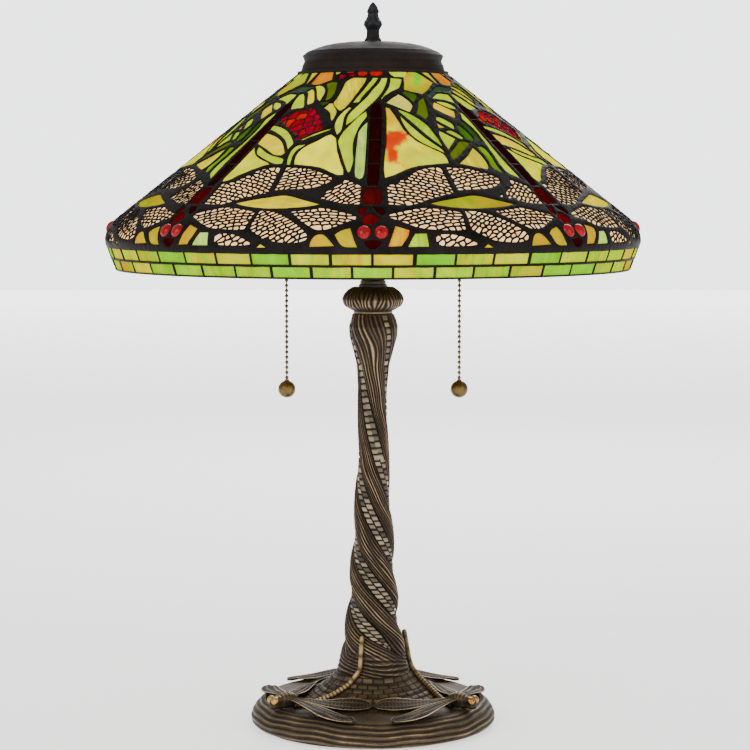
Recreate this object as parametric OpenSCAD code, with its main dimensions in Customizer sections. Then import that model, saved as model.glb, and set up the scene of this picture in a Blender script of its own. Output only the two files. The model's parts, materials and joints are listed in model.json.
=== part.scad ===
// Two-light table lamp: leaded glass dragonfly shade on a cast trunk-shaped stand.
// Origin at the middle of the underside of the felt pad, +Z up, front towards -Y.
// Azimuths are measured from the front (-Y) towards the right (+X).

/* [Stand] */
// Widest diameter of the foot casting
base_d = 216; // [170:1:260]
// Height of the foot casting, from the table to the seat of the trunk
foot_h = 46; // [40:0.5:60]
// Height of the trunk casting
trunk_h = 316; // [240:1:400]
// Diameter of the trunk where it meets the foot
trunk_d = 65.6; // [56:0.2:76]
// Height of the turned knob above the trunk
knob_h = 23.5; // [18:0.5:32]
// Diameter of the turned knob
knob_d = 54.2; // [44:0.2:64]
// Wall of the hollow castings
cast_wall = 4; // [3:0.5:6]

/* [Pipe and cluster] */
// Outside diameter of the threaded pipe and of the nipples
pipe_d = 9.7; // [8:0.1:12]
// Bore of the pipe and of the nipples
pipe_bore = 7; // [5:0.1:7.5]
// Diameter of the stud that carries the shade and the finial
stud_d = 6.35; // [5:0.05:8]
// Diameter of the cluster body
cluster_d = 44; // [38:0.5:60]
// Height of the cluster body
cluster_h = 30; // [26:0.5:40]

/* [Sockets and bulbs] */
// Outside diameter of a socket shell
socket_d = 39; // [36:0.5:44]
// Length of a socket shell
socket_len = 38; // [34:0.5:46]
// Distance from the lamp's axis to a pull chain
chain_x = 75.5; // [70:0.5:90]
// Greatest diameter of a bulb
bulb_d = 60; // [45:1:64]
// Length of a bulb from the tip of its base to its end
bulb_len = 107; // [90:1:112]

/* [Pull chains] */
// Diameter of a chain bead
bead_d = 3.2; // [2.4:0.1:4.5]
// Distance from bead to bead
bead_pitch = 4.48; // [3.4:0.02:6]
// Beads in one chain
bead_count = 23; // [12:1:26]
// Diameter of the ball at the end of a chain
pull_ball_d = 15.2; // [10:0.2:22]
// Downward travel of a pull
pull_travel = 8; // [4:0.5:10]

/* [Shade] */
// Radius of the glass cone at its top edge
shade_top_r = 64; // [56:0.5:72]
// Radius where the cone meets the shoulder
cone_r = 222; // [180:1:260]
// Radius at the widest part of the shoulder
shoulder_r = 231.5; // [189:0.5:270]
// Radius of the bottom rim
rim_r = 222.5; // [180:0.5:262]
// Height of the cone
cone_h = 125; // [100:1:150]
// Height of the shoulder band
shoulder_h = 23.5; // [18:0.5:30]
// Height of the brick skirt
skirt_h = 20; // [16:0.5:28]
// Height of the bottom rim above the neck knob
rim_gap = 16; // [8:0.5:30]
// Thickness of the glass
glass_t = 3; // [2:0.1:4]
// Width of the solder between two pieces of glass
came_w = 2.4; // [1.5:0.1:4]
// How far the solder stands proud of the glass
came_proud = 0.8; // [0.4:0.1:1.5]
// Width of the wire along the bottom rim
rim_w = 1.6; // [1.2:0.1:2.4]
// Dragonflies round the shade
flies = 8; // [8:2:8]
// Bricks in one row of the skirt
bricks = 44; // [30:1:56]

/* [Cap and finial] */
// Radius of the cap's collar
cap_r = 62.3; // [54:0.1:70]
// Height of the vented cap
cap_h = 26.3; // [20:0.1:36]
// Height of the finial
finial_h = 34; // [26:0.5:44]
// Sheet thickness of the cap
cap_wall = 1.6; // [1.2:0.1:2.4]

/* [Clearances] */
// Radial running clearance of a shaft in its hole
run_clear = 0.05; // [0.02:0.01:0.09]
// Gap between faces on different bodies
seat_gap = 0.3; // [0.1:0.05:0.5]
// Radial clearance round parts that pass through a casting
pass_clear = 0.5; // [0.2:0.1:1]
// Gap between a bulb's base and the socket's screw shell
thread_clear = 0.4; // [0.3:0.05:0.6]

/* [Hidden] */
$fn = 96;

LEFT = -1;
RIGHT = 1;
base_r = base_d / 2;
trunk_r = trunk_d / 2;
knob_r = knob_d / 2;
pipe_r = pipe_d / 2;
stud_r = stud_d / 2;
socket_r = socket_d / 2;
bead_r = bead_d / 2;

// Heights of the stack, from the table up
felt_t = 2.5;
trunk_z = foot_h;
knob_z = trunk_z + trunk_h;
ring_z = knob_z + knob_h;
ring_h = 6.5;
rim_z = ring_z + rim_gap;
skirt_z = rim_z + skirt_h;
cone_z = skirt_z + shoulder_h;
top_z = cone_z + cone_h;
lamp_z = cone_z;                 // the sockets lie level with the foot of the cone
ring_seat_z = top_z + 1.7;       // where the cap's collar stands on the top ring
finial_z = ring_seat_z + cap_h;

// Foot: radius as a share of the base radius, height as a share of the foot height
FOOT = [[0.928, 0.022], [0.977, 0.035], [1, 0.11], [0.996, 0.185], [0.978, 0.294], [0.944, 0.39],
    [0.903, 0.456], [0.856, 0.485], [0.815, 0.466], [0.741, 0.46], [0.648, 0.49], [0.556, 0.548],
    [0.463, 0.66], [0.37, 0.817], [0.324, 0.935]];
foot_outer = [for (p = FOOT) [p[0] * base_r, p[1] * foot_h]];
hollow_r = FOOT[0][0] * base_r - 2 * cast_wall;
plate_z = foot_h - 2 * cast_wall;
felt_r = FOOT[0][0] * base_r - 1.2;
inlet_z = 9.5;
inlet_r = 3.3;
bush_r = 5.2;
bush_collar_r = 8;
bush_t = 2.2;
bush_in = 8;
bush_face = base_r - 0.6;

// Trunk: height as a share of the trunk height, radius as a share of its foot radius
TRUNK = [[0, 1], [0.025, 0.905], [0.066, 0.863], [0.104, 0.756], [0.155, 0.729], [0.19, 0.62],
    [0.241, 0.646], [0.291, 0.619], [0.326, 0.579], [0.367, 0.488], [0.418, 0.537], [0.487, 0.497],
    [0.544, 0.402], [0.614, 0.43], [0.684, 0.415], [0.772, 0.4], [0.845, 0.442], [0.896, 0.546],
    [0.94, 0.652], [0.965, 0.668], [1, 0.585]];
function trunk_at(t) = lookup(t, TRUNK) * trunk_r;
KNOB = [[0, 0.63], [0.11, 0.62], [0.17, 0.72], [0.3, 0.92], [0.42, 0.97], [0.55, 1], [0.66, 0.97],
    [0.77, 0.92], [0.89, 0.82], [1, 0.675]];

// Nut stack under the foot
nut_af = 15;
nut_h = 5;
washer_t = 1.6;
stack_z = plate_z - 14;
pipe_end_z = stack_z - washer_t - nut_h - 1.5;

// Ornaments on the foot
ornaments = 3;
ornament_az = 60;
ornament_r = 0.8 * base_r;
wing_len = 76;
wing_w = 17;
wing_t = 1.8;
wing_z = FOOT[7][1] * foot_h + 8.5;
wing_root = 5.5;
post_h = 10;
tail_beads = 12;
tail_r = 2.9;
tail_swing = 40;
tail_climb = 34;

// Cluster and sockets
cluster_r = cluster_d / 2;
cluster_z = lamp_z - cluster_h / 2;
cluster_wall = 2;
cover_t = 2.4;
arm_start = cluster_r - 6;
cap_start = cluster_r + 22;
cap_len = 15;
shell_start = cap_start + cap_len;
shell_end = shell_start + socket_len;
shell_wall = 0.8;
liner_wall = 1;
switch_r = socket_r - shell_wall - liner_wall - 0.4;
switch_len = 21;
screw_r = 13.9;
screw_wall = 0.7;
bulb_start = shell_start + switch_len + 1.6;
base_len = 25;
base_r_bulb = screw_r - screw_wall - thread_clear;
bulb_end = bulb_start + bulb_len;
bulb_wall = 1;

// Pull chains
bell_r = 5;
bell_h = 13;
bell_z = lamp_z - socket_r - bell_h;
bell_bore = 2.7;
link_r = 0.9;
coupler_r = 2.3;
coupler_h = 4;
coupler_z = bell_z - seat_gap - coupler_h;
link_top = lamp_z - 14 + pull_travel;
pin_r = 0.45;
eye_w = 1;
eyelet_r = 0.9;
cheek = [1.4, 0.6, 2.3];
chain_z = coupler_z - 1.3;
bead_z = chain_z - eyelet_r - bead_r + 0.3;
ball_z = bead_z + bead_r - bead_count * bead_pitch - pull_ball_d / 2 + 0.4;
ball_seat_z = ball_z + pull_ball_d / 2 - 0.8;

// Riser, shade and cap
rest_z = ring_seat_z - 11.7;
rest_h = 6;
hub_h = 5;
hub_z = rest_z + rest_h;
hub_r = 10;
arm_w = 7;
arm_t = 2.4;
ring_w = 8;
stud_end = finial_z + 14;
riser_z = cluster_z + cluster_h - cover_t - 3;

/* -- Small helpers -- */
module revolve(points) rotate_extrude() polygon(points);

// Turn a shape made along +X to an azimuth
module at_azimuth(az) rotate([0, 0, az - 90]) children();

// Tube along +Z
module tube(r_out, r_in, h) difference() {
    cylinder(r = r_out, h = h);
    translate([0, 0, -1]) cylinder(r = r_in, h = h + 2);
}

// Lay a shape made along +Z out along the socket axis of one side
module along_socket(side, x) translate([side * x, 0, lamp_z]) rotate([0, side * 90, 0]) children();

/* -- Shade surface: slant distance down the outer face, and depth through it -- */
SHADE = [[shade_top_r, top_z], [cone_r, cone_z], [cone_r + 0.74 * (shoulder_r - cone_r),
    cone_z - 0.36 * shoulder_h], [shoulder_r, cone_z - 0.72 * shoulder_h],
    [shoulder_r - 1.7, skirt_z], [rim_r, rim_z]];
SHADE_LAST = len(SHADE) - 1;
function leg(i) = norm(SHADE[i + 1] - SHADE[i]);
function run_to(i) = i == 0 ? 0 : run_to(i - 1) + leg(i - 1);
RUNS = [for (i = [0 : SHADE_LAST]) run_to(i)];
function leg_normal(i) = let (d = (SHADE[i + 1] - SHADE[i]) / leg(i)) [-d[1], d[0]];
function corner_normal(i) = i <= 0 ? leg_normal(0) : i >= SHADE_LAST ? leg_normal(SHADE_LAST - 1)
    : let (n = leg_normal(i - 1) + leg_normal(i)) n / norm(n);
function leg_of(s) = max([for (i = [0 : SHADE_LAST - 1]) if (s >= RUNS[i] - 0.001) i]);
function shade_at(s, t) = let (i = leg_of(s), k = (s - RUNS[i]) / leg(i),
    n = corner_normal(i) * (1 - k) + corner_normal(i + 1) * k)
    SHADE[i] + (SHADE[i + 1] - SHADE[i]) * k + n / norm(n) * t;
function stops(s0, s1) = concat([s0], [for (s = RUNS) if (s > s0 + 0.5 && s < s1 - 0.5) s], [s1]);
function strip(s0, s1, t0, t1) = concat([for (s = stops(s0, s1)) shade_at(s, t1)],
    [for (i = [len(stops(s0, s1)) - 1 : -1 : 0]) shade_at(stops(s0, s1)[i], t0)]);
function arc_to_angle(width, s) = width / shade_at(s, 0)[0] * 180 / PI;

// One piece of glass between two azimuths and two slant distances
module shade_piece(az0, az1, s0, s1, t0 = -glass_t, t1 = 0)
    rotate([0, 0, az0 - 90]) rotate_extrude(angle = az1 - az0) polygon(strip(s0, s1, t0, t1));

sector = 360 / flies;
module each_fly() for (i = [0 : flies - 1]) rotate([0, 0, i * sector]) children();
module each_flower_sector() for (i = [0 : 2 : flies - 2]) rotate([0, 0, (i - 1) * sector]) children();
module each_leaf_sector() for (i = [0 : 2 : flies - 2]) rotate([0, 0, i * sector]) children();

// Bands of the shade, as slant distances
s_end = RUNS[SHADE_LAST];
s_skirt = RUNS[SHADE_LAST - 1];
s_cone = RUNS[1];
s_top = 3;
s_tail = 0.21 * s_cone;
s_flower = 0.47 * s_cone;
s_belt = 0.64 * s_cone;
s_thorax = 0.785 * s_cone;
s_lens = 0.82 * s_cone;
s_lower = 0.905 * s_cone;
s_head = s_cone + 2;
s_mouth = s_skirt - 1.6 * came_w;
s_rim = s_end - rim_w;
s_mid = (s_skirt + s_rim) / 2;
tail_w = 11.5;
body_w = 21;
mouth_w = 10;
// Cuts across one sector, in degrees from the dragonfly on its left
cut0 = arc_to_angle((tail_w + came_w) / 2, 0.5 * s_cone);
cut1 = 16;
cut2 = 29.5;
cut3 = sector - cut0;
belt0 = arc_to_angle((body_w + came_w) / 2, s_cone);
mouth0 = arc_to_angle((mouth_w + came_w) / 2, s_mouth);
lens0 = 0.28 * sector;
lens1 = 0.72 * sector;
head0 = arc_to_angle(body_w / 2 + came_w, s_cone);
// Gap left where one run of solder meets another
run_gap = 0.15;
function gap_at(s) = arc_to_angle(came_w / 2, s);
eye_r = 6.4;
eye_s = s_cone + 10.5;
eye_az = arc_to_angle(eye_r + 1, eye_s);

module block(c0, c1, s0, s1) let (g = gap_at((s0 + s1) / 2))
    shade_piece(c0 + g, c1 - g, s0 + came_w / 2, s1 - came_w / 2);

// Glass of one dragonfly's body, clear of solder that starts as high as s_side
module spine(c, s0, s1, s_side) let (g = gap_at(s_side))
    shade_piece(g - c, c - g, s0 + came_w / 2, s1 - came_w / 2);

/* -- Stand -- */
module felt_pad() color("darkgreen") cylinder(r = felt_r, h = felt_t);

module foot_casting() color([0.30, 0.25, 0.18]) difference() {
    revolve(concat([[0, foot_outer[0][1]]], foot_outer, [[trunk_r, foot_h], [0, foot_h]]));
    translate([0, 0, -1]) cylinder(r = felt_r + 0.4, h = felt_t + 1);
    revolve([[0, felt_t - 0.1], [hollow_r, felt_t - 0.1],
        [foot_outer[3][0] - 1.7 * cast_wall, foot_outer[3][1]],
        [foot_outer[5][0] - 1.7 * cast_wall, foot_outer[5][1] - cast_wall],
        [foot_outer[9][0], foot_outer[9][1] - cast_wall],
        [foot_outer[10][0], foot_outer[10][1] - cast_wall],
        [foot_outer[12][0] - cast_wall, foot_outer[12][1] - cast_wall],
        [0.6 * trunk_r, plate_z], [0, plate_z]]);
    cylinder(r = pipe_r + pass_clear, h = foot_h + 1);
    translate([0, 0, inlet_z]) rotate([-90, 0, 0]) {
        translate([0, 0, hollow_r - 12]) cylinder(r = bush_r, h = 40);
        translate([0, 0, bush_face - bush_t]) cylinder(r = bush_collar_r, h = 20);
    }
}

module ballast_weight() color([0.22, 0.22, 0.23]) revolve([[pipe_r + pass_clear, plate_z],
    [pipe_r + pass_clear, stack_z], [0.24 * base_r, stack_z], [0.28 * base_r, inlet_z + 4.5],
    [0.7 * base_r, inlet_z + 4.5], [0.7 * base_r, foot_outer[9][1] - cast_wall - 0.6],
    [foot_outer[11][0], foot_outer[9][1] - cast_wall - 0.6],
    [foot_outer[12][0] - 2 * cast_wall, foot_outer[12][1] - 2 * cast_wall],
    [0.5 * trunk_r, plate_z]]);

module pipe_washer() color([0.7, 0.68, 0.6]) translate([0, 0, stack_z - washer_t])
    tube(pipe_r + 7, pipe_r, washer_t);

module pipe_nut() color([0.72, 0.6, 0.3]) translate([0, 0, stack_z - washer_t - nut_h]) difference() {
    cylinder(r = nut_af / sqrt(3), h = nut_h, $fn = 6);
    translate([0, 0, -1]) cylinder(r = pipe_r, h = nut_h + 2);
}

module cord_bushing() color([0.12, 0.1, 0.09]) translate([0, 0, inlet_z]) rotate([-90, 0, 0])
    translate([0, 0, bush_face - bush_t - bush_in]) difference() {
        union() {
            cylinder(r = bush_r, h = bush_in + bush_t);
            translate([0, 0, bush_in]) cylinder(r = bush_collar_r - 0.4, h = bush_t);
        }
        translate([0, 0, -1]) cylinder(r = inlet_r, h = bush_in + bush_t + 2);
    }

module trunk_casting() color([0.36, 0.3, 0.21]) translate([0, 0, trunk_z]) difference() {
    revolve(concat([[0, 0]], [for (p = TRUNK) [p[1] * trunk_r, p[0] * trunk_h]], [[0, trunk_h]]));
    translate([0, 0, -1]) cylinder(r = pipe_r + pass_clear, h = trunk_h + 2);
    revolve(concat([[0, -1], [trunk_r - cast_wall, -1]],
        [for (p = TRUNK) if (p[0] < 0.95) [p[1] * trunk_r - cast_wall, p[0] * trunk_h]],
        [[0, 0.95 * trunk_h]]));
}

module neck_knob() color([0.36, 0.3, 0.21]) translate([0, 0, knob_z]) difference() {
    revolve(concat([[0, 0]], [for (p = KNOB) [p[1] * knob_r, p[0] * knob_h]], [[0, knob_h]]));
    translate([0, 0, -1]) cylinder(r = pipe_r + pass_clear, h = knob_h + 2);
}

module check_ring() color([0.14, 0.12, 0.11]) translate([0, 0, ring_z]) difference() {
    revolve([[0, 0], [12.5, 0], [12.5, 2], [11.3, 3], [11.3, 5.2], [9.5, ring_h], [0, ring_h]]);
    translate([0, 0, -1]) cylinder(r = pipe_r, h = ring_h + 2);
}

module center_pipe() color([0.6, 0.5, 0.3]) translate([0, 0, pipe_end_z])
    tube(pipe_r, pipe_bore / 2, cluster_z + cluster_wall + 4 - pipe_end_z);

/* -- Ornaments on the foot -- */
module each_ornament() for (i = [0 : ornaments - 1])
    at_azimuth(ornament_az + i * 360 / ornaments) children();

// Height of the foot's upper face at a radius
FOOT_TOP = [for (i = [len(FOOT) - 1 : -1 : 5]) foot_outer[i]];
function foot_top(r) = lookup(r, FOOT_TOP);

module ornament_bodies() color([0.5, 0.41, 0.27]) each_ornament() {
    translate([ornament_r, 0, wing_z]) sphere(r = 6.5);
    translate([ornament_r + 9, 0, wing_z - 1]) sphere(r = 4.6);
    translate([ornament_r, 0, wing_z - post_h]) cylinder(r = 3.2, h = post_h);
}

function wing_half(k) = wing_w / 2 * pow(sin(180 * pow(k, 0.72)), 0.62) + 1.2 * (1 - k);
module wing_plan() polygon(concat([for (k = [0 : 0.05 : 1]) [k * wing_len, wing_half(k)]],
    [for (k = [1 : -0.05 : 0]) [k * wing_len, -wing_half(k)]]));

module ornament_wings() color([0.42, 0.35, 0.24]) each_ornament() translate([ornament_r, 0, wing_z])
    for (side = [-1, 1], sweep = [105.6, 136]) rotate([0, 0, side * sweep]) translate([wing_root, 0, 0])
        linear_extrude(height = wing_t) wing_plan();

// Tail: a tapering rod that follows the foot inwards, swings aside and climbs the trunk
function tail_radius(k) = k < 0.62 ? ornament_r - 8 - (ornament_r - 8 - trunk_r) * k / 0.62
    : trunk_at((k - 0.62) / 0.38 * tail_climb / trunk_h);
function tail_height(k) = k < 0.62 ? foot_top(tail_radius(k)) : foot_h + (k - 0.62) / 0.38 * tail_climb;
module tail_bead(k) rotate([0, 0, tail_swing * pow(k, 1.4)])
    translate([tail_radius(k) + 1.2 * k, 0, tail_height(k) + 1.4]) sphere(r = tail_r - 0.9 * k, $fn = 12);
module ornament_tails() color([0.5, 0.41, 0.27]) each_ornament() union() for (i = [1 : tail_beads])
    hull() {
        tail_bead((i - 1) / tail_beads);
        tail_bead(i / tail_beads);
    }

module ornament_eyes() color([0.62, 0.5, 0.3]) each_ornament() for (side = [-1, 1])
    translate([ornament_r + 13, side * 3.7, wing_z - 0.6]) sphere(r = 3.6);

/* -- Cluster, riser -- */
module cluster_body() color([0.14, 0.12, 0.11]) difference() {
    translate([0, 0, cluster_z]) cylinder(r = cluster_r, h = cluster_h - cover_t);
    translate([0, 0, cluster_z + cluster_wall]) cylinder(r = cluster_r - cluster_wall, h = cluster_h);
    translate([0, 0, cluster_z - 1]) cylinder(r = pipe_r, h = cluster_wall + 2);
    translate([0, 0, lamp_z]) rotate([0, 90, 0]) cylinder(r = pipe_r, h = cluster_d + 2, center = true);
}

module cluster_cover() color([0.14, 0.12, 0.11]) translate([0, 0, cluster_z + cluster_h - cover_t])
    difference() {
        cylinder(r = cluster_r, h = cover_t);
        translate([0, 0, -1]) cylinder(r = pipe_r, h = cover_t + 2);
        for (i = [0 : 2]) rotate([0, 0, 90 + 120 * i]) translate([cluster_r - 6, 0, -1])
            cylinder(r = 1.6, h = cover_t + 2);
    }

module cluster_screws() color([0.6, 0.5, 0.3]) translate([0, 0, cluster_z + cluster_h])
    for (i = [0 : 2]) rotate([0, 0, 90 + 120 * i]) translate([cluster_r - 6, 0, 0]) {
        cylinder(r1 = 3, r2 = 2, h = 1.6);
        translate([0, 0, -cover_t - 5]) cylinder(r = 1.6, h = cover_t + 5);
    }

module wire_connectors() color([0.85, 0.8, 0.6]) for (y = [-1, 1])
    translate([0, y * (pipe_r + 5.15), cluster_z + cluster_wall]) cylinder(r1 = 4.6, r2 = 3, h = 16);

module riser_rod() color([0.6, 0.5, 0.3]) union() {
    translate([0, 0, riser_z]) cylinder(r = pipe_r, h = rest_z - riser_z);
    translate([0, 0, rest_z - 1]) cylinder(r = stud_r, h = stud_end - rest_z + 1);
}

module shade_rest() color([0.6, 0.5, 0.3]) translate([0, 0, rest_z]) difference() {
    union() {
        cylinder(r = 8, h = rest_h, $fn = 6);
        translate([0, 0, rest_h - 1.8 - seat_gap]) cylinder(r = hub_r + 1, h = 1.8);
    }
    translate([0, 0, -1]) cylinder(r = stud_r, h = rest_h + 2);
    translate([0, 0, rest_h - seat_gap]) cylinder(r = 12, h = 2);
}

/* -- Sockets, one per side -- */
module socket_arm(side) color([0.6, 0.5, 0.3]) along_socket(side, arm_start)
    tube(pipe_r, pipe_bore / 2, cap_start + 4 - arm_start);

module socket_cap(side) color([0.62, 0.5, 0.28]) along_socket(side, cap_start) revolve([[pipe_r, 0],
    [pipe_r + 4, 0], [pipe_r + 6, 2], [socket_r - 4, 5], [socket_r, 9], [socket_r, cap_len],
    [socket_r - shell_wall, cap_len], [socket_r - shell_wall - 0.4, 9.4], [socket_r - 5, 6],
    [pipe_r + 4.6, 3.6], [pipe_r + 4.6, 5], [pipe_r, 5]]);

// Hole for the chain in the parts that wrap the switch
module chain_hole(side, r) translate([side * chain_x, 0, lamp_z - socket_r - 4])
    cylinder(r = r, h = socket_r);

module socket_shell(side) color([0.62, 0.5, 0.28]) difference() {
    along_socket(side, shell_start) tube(socket_r, socket_r - shell_wall, socket_len);
    chain_hole(side, bell_r - 1.2);
}

module socket_liner(side) color([0.35, 0.28, 0.2]) difference() {
    along_socket(side, shell_start)
        tube(socket_r - shell_wall, socket_r - shell_wall - liner_wall, socket_len - 2);
    chain_hole(side, bell_r - 1.2);
}

module socket_switch(side) color([0.15, 0.12, 0.1]) difference() {
    along_socket(side, shell_start) union() {
        cylinder(r = switch_r, h = switch_len);
        tube(screw_r, screw_r - screw_wall, socket_len - 3);
    }
    translate([side * chain_x, 0, lamp_z - socket_r - 2]) cylinder(r = bell_bore, h = socket_r + 2);
}

module chain_bell(side) color([0.5, 0.4, 0.22]) translate([side * chain_x, 0, bell_z])
    intersection() {
        revolve([[bell_bore, 0], [bell_r, 0], [bell_r, 2.4], [bell_r - 1.6, 4], [bell_r - 1.4, bell_h + 2],
            [bell_bore, bell_h + 2]]);
        difference() {
            translate([0, 0, bell_h / 2]) cube([3 * bell_r, 3 * bell_r, 2 * bell_h], center = true);
            translate([0, 0, bell_h + socket_r]) rotate([0, 90, 0])
                cylinder(r = socket_r - shell_wall - liner_wall, h = 30, center = true);
        }
    }

module bulb_base(side) color([0.75, 0.73, 0.66]) along_socket(side, bulb_start) revolve([[0, 0], [4.2, 0],
    [5, 1.6], [9, 3.2], [base_r_bulb, 5.5], [base_r_bulb, base_len], [0, base_len]]);

// Bulb: share of the glass length, share of the greatest radius
BULB = [[0, 0.41], [0.1, 0.44], [0.25, 0.6], [0.42, 0.85], [0.56, 0.98], [0.64, 1], [0.76, 0.95],
    [0.86, 0.8], [0.94, 0.56], [0.985, 0.26], [1, 0]];
function bulb_wallpoint(p, inset) = let (glass_len = bulb_len - base_len)
    [max(p[1] * bulb_d / 2 - inset, 0), base_len + p[0] * (glass_len - inset)];
module bulb_glass(side) color([0.96, 0.94, 0.86]) along_socket(side, bulb_start)
    revolve(concat([for (p = BULB) bulb_wallpoint(p, 0)],
        [for (i = [len(BULB) - 1 : -1 : 0]) bulb_wallpoint(BULB[i], bulb_wall)]));

/* -- Pull chains, one per side -- */
module switch_link(side) color([0.5, 0.4, 0.22]) translate([side * chain_x, 0, 0]) union() {
    translate([0, 0, coupler_z]) cylinder(r = link_r, h = link_top - coupler_z);
    translate([0, 0, coupler_z]) cylinder(r1 = coupler_r, r2 = coupler_r - 0.6, h = coupler_h - 1);
    translate([0, 0, link_top - 2]) cylinder(r = 2, h = 2);
    for (y = [-1, 1]) translate([0, y * (eye_w / 2 + seat_gap / 2 + cheek[1] / 2), chain_z - 0.5 + cheek[2] / 2])
        cube(cheek, center = true);
    translate([0, 0, chain_z]) rotate([90, 0, 0])
        cylinder(r = pin_r, h = eye_w + seat_gap + 2 * cheek[1], center = true);
}

module chain_beads(side) color([0.5, 0.4, 0.22]) translate([side * chain_x, 0, 0]) union() {
    translate([0, 0, chain_z]) rotate([90, 0, 0]) difference() {
        cylinder(r = eyelet_r, h = eye_w, center = true);
        cylinder(r = pin_r + run_clear, h = 2 * eye_w, center = true);
    }
    for (i = [0 : bead_count - 1])
        translate([0, 0, bead_z - i * bead_pitch]) sphere(r = bead_r, $fn = 24);
    translate([0, 0, ball_seat_z]) cylinder(r = 0.6, h = bead_z - ball_seat_z);
}

module pull_ball(side) color([0.5, 0.4, 0.25]) translate([side * chain_x, 0, ball_z]) difference() {
    union() {
        sphere(r = pull_ball_d / 2);
        translate([0, 0, pull_ball_d / 2 - 1.2]) cylinder(r1 = 2.4, r2 = 1.8, h = 2);
    }
    translate([0, 0, ball_seat_z - ball_z]) cylinder(r = bead_r, h = 4);
}

/* -- Shade hardware -- */
module shade_top_ring() color([0.45, 0.36, 0.2]) translate([0, 0, ring_seat_z]) revolve([
    [shade_top_r - ring_w, 0], [shade_top_r - ring_w, -3], [shade_top_r - 4.4, -3], [shade_top_r - 4.4, -4.2],
    [shade_top_r + 1.4, -4.2], [shade_top_r + 1.4, 0]]);

module shade_spider() color([0.5, 0.4, 0.22]) difference() {
    translate([0, 0, hub_z]) union() {
        cylinder(r = hub_r, h = hub_h);
        for (i = [0 : 3]) rotate([0, 0, 45 + 90 * i]) translate([0, -arm_w / 2, hub_h - arm_t])
            cube([shade_top_r - ring_w - 0.5, arm_w, arm_t]);
        translate([0, 0, hub_h - arm_t]) tube(shade_top_r - ring_w, shade_top_r - ring_w - 3, arm_t);
    }
    translate([0, 0, hub_z - 1]) cylinder(r = stud_r + run_clear, h = hub_h + 2);
}

// Cap: radius as a share of the collar radius, height as a share of the cap height
CAP = [[1, 0], [0.98, 0.2], [0.952, 0.33], [0.958, 0.39], [0.98, 0.52], [0.91, 0.655], [0.84, 0.72],
    [0.77, 0.785], [0.687, 0.85], [0.56, 0.915], [0.38, 0.965], [0.13, 0.985]];
vent_rows = 3;
module vented_cap() color([0.16, 0.14, 0.13]) translate([0, 0, ring_seat_z]) difference() {
    revolve(concat([for (p = CAP) [p[0] * cap_r, p[1] * cap_h]], [[stud_r + run_clear, cap_h - seat_gap],
        [stud_r + run_clear, cap_h - seat_gap - cap_wall]],
        [for (i = [len(CAP) - 1 : -1 : 0]) [CAP[i][0] * cap_r - (i == len(CAP) - 1 ? 0 : cap_wall),
            max(0, CAP[i][1] * cap_h - (i > 4 ? cap_wall : 0))]]));
    for (row = [0 : vent_rows - 1], i = [0 : 11]) rotate([0, 0, 30 * i + 15 * row])
        translate([cap_r * (0.3 + 0.13 * row), 0, cap_h / 2]) cylinder(r = 1.8, h = cap_h, $fn = 24);
}

module finial() color([0.14, 0.12, 0.11]) translate([0, 0, finial_z]) difference() {
    revolve([[0, 0], [7.8, 0], [7.8, 0.04 * finial_h], [7.2, 0.09 * finial_h], [5.6, 0.15 * finial_h],
        [5.6, 0.27 * finial_h], [6.5, 0.35 * finial_h], [8.2, 0.4 * finial_h], [8.6, 0.45 * finial_h],
        [8.2, 0.5 * finial_h], [7.3, 0.55 * finial_h], [5.6, 0.65 * finial_h], [4.8, 0.74 * finial_h],
        [5.6, 0.79 * finial_h], [4.8, 0.86 * finial_h], [3.9, 0.94 * finial_h], [2, 0.985 * finial_h],
        [0, finial_h]]);
    translate([0, 0, -1]) cylinder(r = stud_r + run_clear, h = stud_end - finial_z + 2);
}

/* -- Shade glass -- */
module field_glass() color([0.86, 0.82, 0.32]) {
    each_flower_sector() {
        block(cut1, cut3, s_flower, s_belt);
        block(cut1, cut2, s_top, s_tail);
    }
    each_leaf_sector() {
        block(cut0, cut1, s_top, s_tail);
        block(cut0, cut1, s_flower, s_belt);
        block(cut1, cut3, s_flower, s_belt);
    }
}

module swirl_glass() color([0.9, 0.5, 0.15]) each_leaf_sector() {
    block(cut0, cut1, s_tail, s_flower);
    block(cut1, cut2, s_top, s_tail);
}

module leaf_glass() color([0.72, 0.84, 0.45]) {
    each_fly() block(-cut0, cut0, s_top, s_tail);
    each_flower_sector() {
        block(cut0, cut1, s_top, s_tail);
        block(cut2, cut3, s_top, s_tail);
        block(cut2, cut3, s_tail, s_flower);
        block(cut0, cut1, s_flower, s_belt);
    }
    each_leaf_sector() {
        block(cut1, cut2, s_tail, s_flower);
        block(cut2, cut3, s_tail, s_flower);
        block(cut2, cut3, s_top, s_tail);
    }
}

module flower_glass() color([0.75, 0.12, 0.12]) each_flower_sector() block(cut0, cut2, s_tail, s_flower);

module tail_glass() color([0.2, 0.12, 0.12]) each_fly() spine(cut0, s_tail, s_thorax, s_tail);

module upper_wing_glass() color([0.93, 0.82, 0.74]) each_fly() {
    block(belt0, sector / 2, s_belt, s_lens);
    block(sector / 2, sector - belt0, s_belt, s_lens);
}

module lens_glass() color([0.85, 0.7, 0.25]) each_fly() block(lens0, lens1, s_lens, s_lower);

module lower_wing_glass() color([0.93, 0.82, 0.74]) each_fly() {
    block(belt0, lens0, s_lens, s_lower);
    block(lens1, sector - belt0, s_lens, s_lower);
    block(belt0, sector / 2, s_lower, s_head);
    block(sector / 2, sector - belt0, s_lower, s_head);
    block(lens0, lens1, s_head, s_mouth);
}

module body_glass() color([0.4, 0.08, 0.08]) each_fly() {
    spine(belt0, s_thorax, s_head, s_belt);
    spine(mouth0, eye_s + eye_r, s_mouth, s_head);
}

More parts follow.
